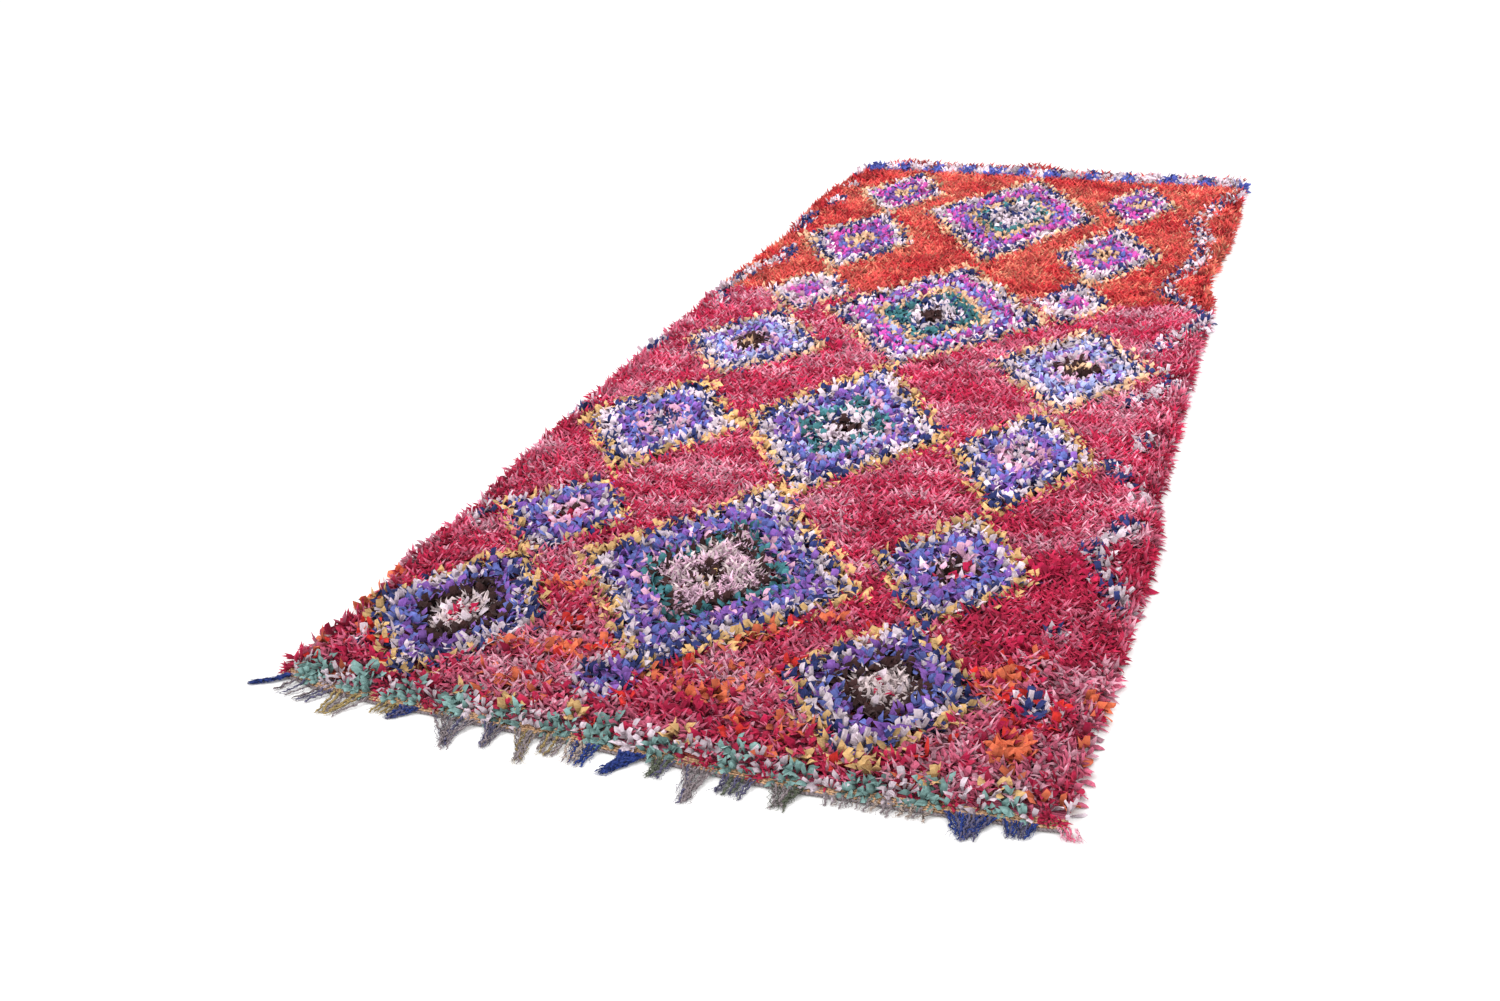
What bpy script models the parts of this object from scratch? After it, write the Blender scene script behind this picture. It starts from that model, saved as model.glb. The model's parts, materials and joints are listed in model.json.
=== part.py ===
"""A boucherouite rug lying on the floor, in metres, +Z up.

A boucherouite is knotted by hand from cut rags and yarn ends on a narrow loom. Here it is built as the
maker leaves it: the shaggy pile on its ground weave, and a flat-woven band at each end, whose warp ends
hang out as a knotted fringe. The near end, with the long fringe, lies towards -Y. The origin is on the
floor, at the centre of the rug.
"""

from collections import namedtuple

import bmesh
import bpy
import numpy as np
from mathutils import Vector, noise

# Driving dimensions of the rug
WIDTH = 1.372            # pile field, side to side, without the locks at its rim
LENGTH = 3.725           # outer edge of the near band to outer edge of the far band
BAND_WIDTH = 0.030       # flat-woven band at the near end
FAR_BAND_WIDTH = 0.014   # the far band, mostly hidden under the pile
BAND_THICKNESS = 0.006
BAND_UNEVEN = 0.10       # share of the thickness
PILE_HEIGHT = 0.029      # rag knots lying over each other
RIM_HEIGHT = 0.019       # the outermost knots lean out and lie lower
RIM_WIDTH = 0.060        # over which the pile rises from the rim to its full height
LUMP_HEIGHT = 0.008      # how far tufts stand above or below the pile's mean height
LUMP_LENGTH = 0.060      # from one lump to the next
SWELL_LENGTH = 0.200     # of the wider swells under the lumps
TUFT_HEIGHT = 0.0045     # how far one handful of pile stands above its neighbour
SEAM = 0.0003            # clearance between a band and the pile

# The slab's grid: one cell is about one handful of pile
COLUMNS = 30
ROWS = 80
BAND_CELLS = 3           # cells of the near band for each column of the pile
FAR_BAND_CELLS = 2
CELL_JITTER = 0.28       # share of a cell by which a grid point may wander

# Locks, each kind with the share by which the reach of one differs from the next one's
RIM_LOCK_REACH = 0.030
RIM_LOCK_DRIFT = 0.008
RIM_LOCK_SPREAD = 0.40
WARP_SPREAD = 0.28
WISP_REACH = 0.020
WISP_DRIFT = 0.003
WISP_SPREAD = 0.50
WISP_SHARE = 0.45        # share of the far band's cells that still have a wisp
WITHIN_45_DEGREES = 0.7071

# Where the floor's origin lies, from the rug's left edge and from the near band's edge
ORIGIN_ACROSS = 0.690
ORIGIN_ALONG = 1.850

Side = namedtuple("Side", "along left right")
End = namedtuple("End", "across out")
Clump = namedtuple("Clump", "start end reach sway")
Stage = namedtuple("Stage", "reach drift width height")

# How a lock thins from its root: shares of its reach and drift so far, and of its root's width and height
RIM_LOCK = (Stage(0.55, 0.4, 0.62, 0.62), Stage(1.0, 1.0, 0.22, 0.24))
WARP_LOCK = (Stage(0.35, 0.2, 0.55, 0.85), Stage(1.0, 1.0, 0.36, 0.45))
WISP_LOCK = (Stage(0.40, 0.0, 0.45, 0.80), Stage(1.0, 1.0, 0.20, 0.40))

# One stream of fixed chances for each thing that varies
(
    GRID_ACROSS,
    GRID_ALONG,
    TUFT_RISE,
    LEFT_RIM_REACH,
    RIGHT_RIM_REACH,
    LEFT_RIM_DRIFT,
    RIGHT_RIM_DRIFT,
    WARP_REACHES,
    WISPS_KEPT,
    WISP_REACHES,
    WISP_DRIFTS,
) = range(11)

# The two long edges wander: how far each stands out from the nominal field at a distance along the rug
SIDES = (
    Side(0.00, 0.010, -0.005),
    Side(0.30, -0.010, -0.005),
    Side(0.50, 0.010, 0.005),
    Side(0.70, -0.010, 0.010),
    Side(0.90, 0.010, 0.015),
    Side(1.10, 0.010, -0.005),
    Side(1.80, 0.010, -0.005),
    Side(2.00, 0.000, -0.005),
    Side(2.10, 0.015, 0.000),
    Side(2.20, 0.005, 0.005),
    Side(2.35, 0.000, -0.005),
    Side(2.55, -0.010, -0.025),
    Side(2.75, -0.020, -0.012),
    Side(2.95, 0.000, 0.005),
    Side(3.20, 0.010, 0.005),
    Side(3.55, -0.020, 0.005),
    Side(3.72, -0.050, 0.005),
)

# The near end bows out towards the right of its middle
NEAR_END = (
    End(0.00, 0.000),
    End(0.25, 0.006),
    End(0.50, 0.012),
    End(0.72, 0.020),
    End(0.92, 0.030),
    End(1.10, 0.024),
    End(1.30, 0.012),
    End(1.40, 0.004),
)

# The far end stands out in two places and draws in on the right
FAR_END = (
    End(0.00, -0.020),
    End(0.12, 0.035),
    End(0.28, 0.010),
    End(0.50, 0.000),
    End(0.62, 0.045),
    End(0.74, -0.020),
    End(1.10, -0.030),
    End(1.40, -0.030),
)

# Warp ends of the near band, knotted in clumps: from and to across the rug, length, and drift to the left
NEAR_FRINGE = (
    Clump(0.00, 0.16, 0.050, 0.012),
    Clump(0.20, 0.27, 0.030, 0.012),
    Clump(0.31, 0.38, 0.080, 0.002),
    Clump(0.38, 0.45, 0.060, -0.004),
    Clump(0.46, 0.52, 0.076, 0.006),
    Clump(0.52, 0.57, 0.046, 0.004),
    Clump(0.58, 0.62, 0.048, 0.000),
    Clump(0.64, 0.70, 0.046, 0.012),
    Clump(0.71, 0.76, 0.034, 0.002),
    Clump(0.77, 0.82, 0.070, 0.008),
    Clump(0.83, 0.90, 0.032, 0.010),
    Clump(0.91, 0.98, 0.042, 0.002),
    Clump(1.00, 1.18, 0.020, 0.004),
    Clump(1.19, 1.33, 0.032, 0.002),
    Clump(1.34, 1.38, 0.024, -0.008),
)


def column(table, name):
    """One named column of a table, as an array."""
    return np.array([getattr(row, name) for row in table])


def eased(position, table, key, value):
    """A smooth reading of a table: a cosine blend between one row and the next."""
    keys = column(table, key)
    values = column(table, value)
    place = int(np.clip(np.searchsorted(keys, position) - 1, 0, len(keys) - 2))
    share = np.clip((position - keys[place]) / (keys[place + 1] - keys[place]), 0, 1)
    blend = (1 - np.cos(np.pi * share)) / 2
    return float(values[place] * (1 - blend) + values[place + 1] * blend)


def left_edge(along):
    return -eased(along, SIDES, "along", "left")


def right_edge(along):
    return WIDTH + eased(along, SIDES, "along", "right")


def near_edge(across):
    """Outer edge of the near band."""
    return -eased(across, NEAR_END, "across", "out")


def far_edge(across):
    """Outer edge of the far band."""
    return LENGTH + eased(across, FAR_END, "across", "out")


def across_at(share, along):
    return left_edge(along) + share * (right_edge(along) - left_edge(along))


def on_floor(across, along, height=0.0):
    """A point given from the rug's left edge and near end, in the object's own frame."""
    return Vector((across - ORIGIN_ACROSS, along - ORIGIN_ALONG, height))


def pile_starts(share):
    return near_edge(share * WIDTH) + BAND_WIDTH


def pile_ends(share):
    return far_edge(share * WIDTH) - FAR_BAND_WIDTH


def chance(stream, place):
    """A fixed pseudo-random number from -1 to 1 for a place in the rug: smooth noise, read far apart."""
    return float(np.clip(2 * noise.noise(Vector((place * 1.37 + 0.31, stream * 7.91 + 0.17, 0.53))), -1, 1))


def grid_square(columns, rows):
    """A flat unit square of cells, from (0, 0) to (1, 1)."""
    bm = bmesh.new()
    bmesh.ops.create_grid(bm, x_segments=columns, y_segments=rows, size=0.5)
    bmesh.ops.translate(bm, verts=bm.verts, vec=(0.5, 0.5, 0))
    return bm


def thicken_upwards(bm, height_at):
    """Closes a flat sheet on the floor into a solid: one flat underside, and a top at height_at(vert)."""
    underside = bm.faces[:]
    grown = bmesh.ops.extrude_face_region(bm, geom=underside, use_keep_orig=True)
    for vert in [part for part in grown["geom"] if isinstance(part, bmesh.types.BMVert)]:
        vert.co.z = height_at(vert.co)
    bmesh.ops.dissolve_faces(bm, faces=underside, use_verts=True)
    bmesh.ops.recalc_face_normals(bm, faces=bm.faces)


def side_faces(bm, outward):
    """The upright faces that look the given way, within 45 degrees, in order along the wall."""
    wall = [face for face in bm.faces if face.normal.dot(Vector(outward)) > WITHIN_45_DEGREES]
    along_wall = 0 if outward[1] else 1
    return sorted(wall, key=lambda face: face.calc_center_median()[along_wall])


def draw_out(bm, face, reach, drift, stages):
    """Draws an upright face out into a lock, whose underside lies level on the floor all the way."""
    root = face.calc_center_median()
    outward = face.normal.copy()
    outward.z = 0
    outward.normalize()
    sideways = Vector((-outward.y, outward.x, 0))
    centre_before = root
    before = Stage(0.0, 0.0, 1.0, 1.0)
    for stage in stages:
        face = bmesh.ops.extrude_discrete_faces(bm, faces=[face])["faces"][0]
        centre = root + outward * reach * stage.reach + sideways * drift * stage.drift
        for vert in face.verts:
            spread = (vert.co - centre_before).dot(sideways) * stage.width / before.width
            place = centre + sideways * spread
            vert.co = Vector((place.x, place.y, vert.co.z * stage.height / before.height))
        centre_before = centre
        before = stage


def pile_height_at(place):
    """The pile's uneven top: soft lumps, lower towards the rim."""
    lump = noise.noise(Vector((place.x, place.y, 0)) / LUMP_LENGTH)
    swell = noise.noise(Vector((place.x, place.y, 0.6)) / SWELL_LENGTH)
    along = place.y + ORIGIN_ALONG
    across = place.x + ORIGIN_ACROSS
    inside = min(
        across - left_edge(along),
        right_edge(along) - across,
        along - near_edge(across) - BAND_WIDTH,
        far_edge(across) - FAR_BAND_WIDTH - along,
    )
    rise = np.clip(inside / RIM_WIDTH, 0, 1)
    tuft = chance(TUFT_RISE, place.x * 83 + place.y * 641)
    uneven = LUMP_HEIGHT * (lump * rise + 0.5 * swell) + TUFT_HEIGHT * tuft * rise
    return RIM_HEIGHT + (PILE_HEIGHT - RIM_HEIGHT) * rise + uneven


def shape_pile_grid(bm):
    """Lays the unit square out in the rug's outline, with its inner points a little out of line."""
    for vert in bm.verts:
        share_across, share_along = vert.co.x, vert.co.y
        if not vert.is_boundary:
            number = share_across * 91 + share_along * 977
            share_across += CELL_JITTER * chance(GRID_ACROSS, number) / COLUMNS
            share_along += CELL_JITTER * chance(GRID_ALONG, number) / ROWS
        start = pile_starts(share_across)
        along = start + share_along * (pile_ends(share_across) - start)
        vert.co = on_floor(across_at(share_across, along), along)


def grow_rim_locks(bm, outward, reaches, drifts):
    """One lock of pile for each cell along a long side."""
    for number, face in enumerate(side_faces(bm, outward)):
        reach = RIM_LOCK_REACH * (1 + RIM_LOCK_SPREAD * chance(reaches, number))
        draw_out(bm, face, reach, RIM_LOCK_DRIFT * chance(drifts, number), RIM_LOCK)


def build_pile():
    bm = grid_square(COLUMNS, ROWS)
    shape_pile_grid(bm)
    thicken_upwards(bm, pile_height_at)
    grow_rim_locks(bm, (-1, 0, 0), LEFT_RIM_REACH, LEFT_RIM_DRIFT)
    grow_rim_locks(bm, (1, 0, 0), RIGHT_RIM_REACH, RIGHT_RIM_DRIFT)
    return bm


def clump_at(across):
    for clump in NEAR_FRINGE:
        if clump.start <= across <= clump.end:
            return clump
    return None


def seam_curve(ends_of_columns, edge):
    """The pile's end wall as it really runs, straight from one grid column to the next."""
    shares = np.linspace(0, 1, COLUMNS + 1)
    along = [ends_of_columns(share) for share in shares]
    across = [across_at(share, end) for share, end in zip(shares, along)]
    return float(np.interp(edge, shares, across)), float(np.interp(edge, shares, along))


def band_height_at(place):
    """The band is beaten up thicker in some places than in others."""
    return BAND_THICKNESS * (1 + BAND_UNEVEN * noise.noise(Vector((place.x, 0, 0)) / LUMP_LENGTH))


def build_near_band():
    """The flat-woven band, with its warp ends drawn out in clumps along the outer edge."""
    bm = grid_square(COLUMNS * BAND_CELLS, 1)
    for vert in bm.verts:
        across, along = seam_curve(pile_starts, vert.co.x)
        gap_edge = along - SEAM
        vert.co = on_floor(across, gap_edge if vert.co.y > 0.5 else gap_edge - BAND_WIDTH)
    thicken_upwards(bm, band_height_at)
    for number, face in enumerate(side_faces(bm, (0, -1, 0))):
        clump = clump_at(face.calc_center_median().x + ORIGIN_ACROSS)
        if clump is None:
            continue
        length = 1 + WARP_SPREAD * chance(WARP_REACHES, number)
        draw_out(bm, face, clump.reach * length, -clump.sway * length, WARP_LOCK)
    return bm


def build_far_band():
    """The hidden far band, with the few short wisps that are left of its warp ends."""
    bm = grid_square(COLUMNS * FAR_BAND_CELLS, 1)
    for vert in bm.verts:
        across, along = seam_curve(pile_ends, vert.co.x)
        gap_edge = along + SEAM
        vert.co = on_floor(across, gap_edge + (FAR_BAND_WIDTH if vert.co.y > 0.5 else 0))
    thicken_upwards(bm, band_height_at)
    for number, face in enumerate(side_faces(bm, (0, 1, 0))):
        if (1 + chance(WISPS_KEPT, number)) / 2 > WISP_SHARE:
            continue
        reach = WISP_REACH * (1 + WISP_SPREAD * chance(WISP_REACHES, number))
        draw_out(bm, face, reach, WISP_DRIFT * chance(WISP_DRIFTS, number), WISP_LOCK)
    return bm


def cloth(name, colour, roughness):
    """A matt fibre finish in the piece's main colour, in linear values."""
    material = bpy.data.materials.new(name)
    material.use_nodes = True
    shader = material.node_tree.nodes["Principled BSDF"]
    shader.inputs["Base Color"].default_value = (*colour, 1)
    shader.inputs["Roughness"].default_value = roughness
    shader.inputs["Metallic"].default_value = 0
    return material


def add_object(collection, name, bm, material):
    mesh = bpy.data.meshes.new(name)
    bm.to_mesh(mesh)
    bm.free()
    mesh.materials.append(material)
    collection.objects.link(bpy.data.objects.new(name, mesh))


def main():
    for stale in list(bpy.data.objects):
        bpy.data.objects.remove(stale)
    rug = bpy.data.collections.new("boucherouite_rug")
    bpy.context.scene.collection.children.link(rug)
    add_object(rug, "pile", build_pile(), cloth("knotted_rag_pile", (0.52, 0.06, 0.09), 0.95))
    add_object(rug, "near_end_band", build_near_band(), cloth("flat_woven_band", (0.58, 0.38, 0.23), 0.9))
    add_object(rug, "far_end_band", build_far_band(), cloth("dark_warp_ends", (0.22, 0.17, 0.21), 0.9))


main()
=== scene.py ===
"""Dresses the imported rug: its ground weave, its pile of knotted rags and yarn, its end bands and its fringe.

A boucherouite is knotted by hand from what the house has to spare: strips of worn cotton and jersey, and
ends of acrylic yarn. Each knot here is tied in its own row and column, and takes its dye from the pattern
of lozenges, borders and zigzags that is charted below in metres across and along the rug.
"""

import json
import math
import random
from collections import namedtuple

import bmesh
import bpy
import numpy as np
from mathutils import Matrix, Vector, noise

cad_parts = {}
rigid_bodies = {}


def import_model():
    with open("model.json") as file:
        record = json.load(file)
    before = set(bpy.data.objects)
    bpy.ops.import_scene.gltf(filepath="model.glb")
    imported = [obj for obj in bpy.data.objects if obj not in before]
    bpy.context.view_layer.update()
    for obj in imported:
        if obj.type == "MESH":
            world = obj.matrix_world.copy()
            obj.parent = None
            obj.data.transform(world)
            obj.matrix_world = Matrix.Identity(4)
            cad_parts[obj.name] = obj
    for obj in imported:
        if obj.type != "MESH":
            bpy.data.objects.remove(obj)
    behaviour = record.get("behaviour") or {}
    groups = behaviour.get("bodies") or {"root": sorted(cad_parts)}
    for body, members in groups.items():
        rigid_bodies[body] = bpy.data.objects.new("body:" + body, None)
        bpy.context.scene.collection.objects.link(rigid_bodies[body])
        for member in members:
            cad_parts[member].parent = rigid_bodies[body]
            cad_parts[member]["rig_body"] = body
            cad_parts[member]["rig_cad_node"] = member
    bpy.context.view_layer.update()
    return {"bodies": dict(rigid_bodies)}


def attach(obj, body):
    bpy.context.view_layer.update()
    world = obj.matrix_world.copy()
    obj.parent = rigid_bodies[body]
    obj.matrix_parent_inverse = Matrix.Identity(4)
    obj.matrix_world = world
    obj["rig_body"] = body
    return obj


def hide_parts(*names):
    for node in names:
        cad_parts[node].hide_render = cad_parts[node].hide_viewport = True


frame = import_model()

bl_info = {
    "name": "Boucherouite rug",
    "version": (1, 0, 0),
    "blender": (4, 5, 0),
    "location": "View3D > Sidebar > Rug",
    "description": "Ties, weaves and fringes a shaggy rag rug around its packed frame",
    "category": "Add Mesh",
}

BODY = "root" if "root" in frame["bodies"] else sorted(frame["bodies"])[0]

# The rug's outline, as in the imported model
WIDTH = 1.372
LENGTH = 3.725
BAND_WIDTH = 0.030
FAR_BAND_WIDTH = 0.014
BAND_SHOWING = 0.014     # of the near band, in front of the first row of knots
ORIGIN_ACROSS = 0.690
ORIGIN_ALONG = 1.850

Side = namedtuple("Side", "along left right")
End = namedtuple("End", "across out")
Clump = namedtuple("Clump", "start end reach sway gather cords dye other")
Dye = namedtuple("Dye", "colour cut piece use")
Ring = namedtuple("Ring", "reach dye other share")
Lozenge = namedtuple("Lozenge", "across along left right near far fullness outline rings")
Patch = namedtuple("Patch", "across along half_width half_length dye")
Lot = namedtuple("Lot", "zone noise past dye other share")
Turn = namedtuple("Turn", "across along")
Softbox = namedtuple("Softbox", "name place size power")

SIDES = (
    Side(0.00, 0.010, -0.005),
    Side(0.30, -0.010, -0.005),
    Side(0.50, 0.010, 0.005),
    Side(0.70, -0.010, 0.010),
    Side(0.90, 0.010, 0.015),
    Side(1.10, 0.010, -0.005),
    Side(1.80, 0.010, -0.005),
    Side(2.00, 0.000, -0.005),
    Side(2.10, 0.015, 0.000),
    Side(2.20, 0.005, 0.005),
    Side(2.35, 0.000, -0.005),
    Side(2.55, -0.010, -0.025),
    Side(2.75, -0.020, -0.012),
    Side(2.95, 0.000, 0.005),
    Side(3.20, 0.010, 0.005),
    Side(3.55, -0.020, 0.005),
    Side(3.72, -0.050, 0.005),
)
NEAR_END = (
    End(0.00, -0.022),
    End(0.10, -0.002),
    End(0.25, 0.006),
    End(0.50, 0.012),
    End(0.72, 0.020),
    End(0.92, 0.030),
    End(1.10, 0.024),
    End(1.30, 0.012),
    End(1.40, 0.004),
)
FAR_END = (
    End(0.00, -0.020),
    End(0.12, 0.035),
    End(0.28, 0.010),
    End(0.50, 0.000),
    End(0.62, 0.045),
    End(0.74, -0.020),
    End(1.10, -0.030),
    End(1.40, -0.030),
)

# The dyes, with how each is cut for knotting, and the piece that its knots are joined into
DYES = {
    "crimson": Dye("#D02C56", "yarn", "crimson_yarn_knots", "Ground of the near half"),
    "rose": Dye("#E47090", "yarn", "rose_yarn_knots", "Faded ground of the near half"),
    "mauve": Dye("#F0B0C4", "yarn", "rose_yarn_knots", "Dusty streaks in the ground"),
    "vermilion": Dye("#E65C58", "yarn", "orange_yarn_knots", "Ground of the far half"),
    "scarlet": Dye("#CE323C", "yarn", "orange_yarn_knots", "Deeper red of the far half"),
    "flame": Dye("#F48C74", "yarn", "orange_yarn_knots", "Orange flecks in the ground"),
    "velvet": Dye("#C41A4E", "rag", "bright_rag_knots", "Crimson velvet offcuts"),
    "tangerine": Dye("#F07A54", "rag", "bright_rag_knots", "Orange rags near the end"),
    "red": Dye("#E4322C", "rag", "bright_rag_knots", "Red rags near the end"),
    "purple": Dye("#9464C0", "rag", "bright_rag_knots", "Purple rings"),
    "royal": Dye("#727ECE", "rag", "bright_rag_knots", "Blue rings"),
    "magenta": Dye("#E05CBC", "rag", "bright_rag_knots", "Magenta rings of the far half"),
    "periwinkle": Dye("#B8C2F6", "rag", "pale_rag_knots", "Pale blue rings"),
    "pink": Dye("#F0B8D4", "rag", "pale_rag_knots", "Pink rings"),
    "lilac": Dye("#F2E0EC", "both", "white_cotton_knots", "White that a wash has tinged"),
    "blossom": Dye("#FCD2EA", "yarn", "white_cotton_knots", "Pale lilac yarn in the great lozenges"),
    "chalk": Dye("#F4E0E2", "yarn", "white_cotton_knots", "White yarn in the smaller lozenges"),
    "cream": Dye("#F4C8A2", "rag", "pale_rag_knots", "Cream outlines of the far half"),
    "yellow": Dye("#F2C688", "rag", "pale_rag_knots", "Yellow outlines of the near half"),
    "seafoam": Dye("#90B8B4", "rag", "pale_rag_knots", "Green steps of the near border"),
    "navy": Dye("#343E7C", "rag", "dark_rag_knots", "Navy checks and outlines"),
    "teal": Dye("#4A8890", "rag", "dark_rag_knots", "Green rings"),
    "brown": Dye("#442828", "rag", "dark_rag_knots", "Brown rings and centres"),
    "cobalt": Dye("#5A66C0", "rag", "dark_rag_knots", "Blue steps of the far border"),
    "tan": Dye("#D9AE88", "cord", "near_end_band_weave", "Cotton weft of the end band"),
    "taupe": Dye("#8C8084", "cord", "near_fringe", "Grey warp ends"),
    "slate": Dye("#5E5A78", "cord", "near_fringe", "Violet grey warp ends"),
    "olive": Dye("#A08A5A", "cord", "near_fringe", "Golden grey warp ends"),
    "ink": Dye("#2A3E86", "cord", "near_fringe", "Blue warp ends"),
    "linen": Dye("#B8A69C", "cord", "near_fringe", "Undyed warp ends"),
    "moss": Dye("#5A6050", "cord", "near_fringe", "Dark green grey warp ends"),
}
DYE_NAMES = list(DYES)

# The dye that is spun or tied in with another
FLECKS = {
    "crimson": "rose",
    "rose": "mauve",
    "mauve": "rose",
    "vermilion": "flame",
    "scarlet": "vermilion",
    "flame": "cream",
    "purple": "royal",
    "royal": "purple",
    "velvet": "crimson",
}

# Rings of the lozenges, from the middle outwards: how far each reaches, and the share of the other dye
NEAR_GRAND = (
    Ring(0.06, "yellow", "yellow", 0.0),
    Ring(0.16, "brown", "brown", 0.0),
    Ring(0.52, "blossom", "chalk", 0.35),
    Ring(0.62, "brown", "chalk", 0.05),
    Ring(0.73, "teal", "pink", 0.12),
    Ring(0.80, "pink", "purple", 0.35),
    Ring(1.00, "purple", "royal", 0.34),
)
MIDDLE_GRAND = (
    Ring(0.24, "brown", "lilac", 0.25),
    Ring(0.42, "lilac", "navy", 0.30),
    Ring(0.62, "teal", "navy", 0.20),
    Ring(0.76, "pink", "periwinkle", 0.40),
    Ring(1.00, "royal", "purple", 0.66),
)
FAR_GRAND = (
    Ring(0.20, "brown", "brown", 0.0),
    Ring(0.38, "lilac", "navy", 0.30),
    Ring(0.58, "teal", "navy", 0.35),
    Ring(0.73, "cream", "cream", 0.0),
    Ring(0.84, "periwinkle", "purple", 0.30),
    Ring(1.00, "magenta", "purple", 0.42),
)
FARTHEST_GRAND = (
    Ring(0.06, "navy", "navy", 0.0),
    Ring(0.44, "lilac", "navy", 0.22),
    Ring(0.58, "teal", "navy", 0.35),
    Ring(0.72, "cream", "cream", 0.0),
    Ring(0.84, "royal", "purple", 0.60),
    Ring(1.00, "magenta", "purple", 0.30),
)
NEAR_SMALL = (
    Ring(0.15, "velvet", "velvet", 0.0),
    Ring(0.46, "chalk", "lilac", 0.2),
    Ring(0.74, "brown", "brown", 0.0),
    Ring(1.00, "purple", "royal", 0.34),
)
PINK_SMALL = (
    Ring(0.28, "brown", "velvet", 0.35),
    Ring(0.54, "pink", "lilac", 0.30),
    Ring(1.00, "royal", "purple", 0.66),
)
MIXED_SMALL = (
    Ring(0.28, "navy", "lilac", 0.50),
    Ring(0.60, "pink", "lilac", 0.25),
    Ring(1.00, "purple", "royal", 0.40),
)
BROWN_SMALL = (
    Ring(0.16, "cream", "brown", 0.30),
    Ring(0.42, "brown", "brown", 0.0),
    Ring(0.60, "pink", "lilac", 0.40),
    Ring(1.00, "periwinkle", "purple", 0.45),
)
MAGENTA_SMALL = (
    Ring(0.62, "magenta", "purple", 0.40),
    Ring(1.00, "lilac", "pink", 0.30),
)
CREAM_SMALL = (
    Ring(0.12, "brown", "cream", 0.40),
    Ring(0.42, "cream", "cream", 0.0),
    Ring(0.70, "royal", "purple", 0.60),
    Ring(1.00, "magenta", "purple", 0.22),
)
CHECK_SMALL = (
    Ring(1.00, "purple", "navy", 0.30),
)

# Every lozenge ends in the same three lines of knots: white, navy and a pale outline
OUTLINE_WIDTH = 0.059
OUTLINE_SHARE = 0.36     # of a small lozenge, at most
NEAR_OUTLINE_SHARE = 0.31    # the same, nearer than NEAR_WHITES
WHITE_LINE = 0.38        # share of the outline's width
NAVY_LINE = 0.69
NEAR_WHITES = 0.80       # nearer than this the white line is mixed with purple
OUTLINE_WAVE = 0.018     # how far a ring wanders, as a share of its lozenge

# Middle of each lozenge, and how far it reaches to the left, right, near end and far end
LOZENGES = (
    Lozenge(0.600, 0.545, 0.270, 0.310, 0.365, 0.410, 1.00, "yellow", NEAR_GRAND),
    Lozenge(0.647, 1.270, 0.250, 0.253, 0.375, 0.425, 1.00, "yellow", MIDDLE_GRAND),
    Lozenge(0.663, 2.058, 0.312, 0.328, 0.400, 0.470, 1.00, "cream", FAR_GRAND),
    Lozenge(0.696, 3.068, 0.312, 0.273, 0.525, 0.478, 1.00, "cream", FARTHEST_GRAND),
    Lozenge(0.205, 0.285, 0.190, 0.172, 0.225, 0.262, 1.12, "yellow", NEAR_SMALL),
    Lozenge(0.228, 0.713, 0.175, 0.125, 0.200, 0.182, 1.00, "yellow", PINK_SMALL),
    Lozenge(0.226, 1.208, 0.210, 0.192, 0.290, 0.270, 1.05, "yellow", MIXED_SMALL),
    Lozenge(0.241, 1.748, 0.183, 0.216, 0.248, 0.278, 1.05, "cream", BROWN_SMALL),
    Lozenge(0.268, 2.198, 0.145, 0.125, 0.203, 0.193, 1.00, "cream", MAGENTA_SMALL),
    Lozenge(0.276, 2.708, 0.208, 0.166, 0.340, 0.338, 1.00, "cream", CREAM_SMALL),
    Lozenge(0.265, 3.275, 0.167, 0.148, 0.265, 0.292, 1.00, "cream", CREAM_SMALL),
    Lozenge(1.023, 0.264, 0.182, 0.166, 0.225, 0.216, 1.10, "yellow", NEAR_SMALL),
    Lozenge(1.042, 0.683, 0.162, 0.160, 0.222, 0.255, 1.00, "yellow", PINK_SMALL),
    Lozenge(1.066, 1.224, 0.160, 0.178, 0.302, 0.246, 1.05, "yellow", MIXED_SMALL),
    Lozenge(1.102, 1.762, 0.213, 0.198, 0.328, 0.294, 1.00, "cream", BROWN_SMALL),
    Lozenge(1.019, 2.227, 0.117, 0.106, 0.168, 0.212, 1.05, "cream", MAGENTA_SMALL),
    Lozenge(1.037, 2.687, 0.148, 0.180, 0.314, 0.330, 1.00, "cream", CREAM_SMALL),
    Lozenge(1.070, 3.256, 0.126, 0.126, 0.266, 0.270, 1.00, "cream", CREAM_SMALL),
    Lozenge(0.560, 0.160, 0.065, 0.065, 0.070, 0.080, 1.30, "lilac", CHECK_SMALL),
)

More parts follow.
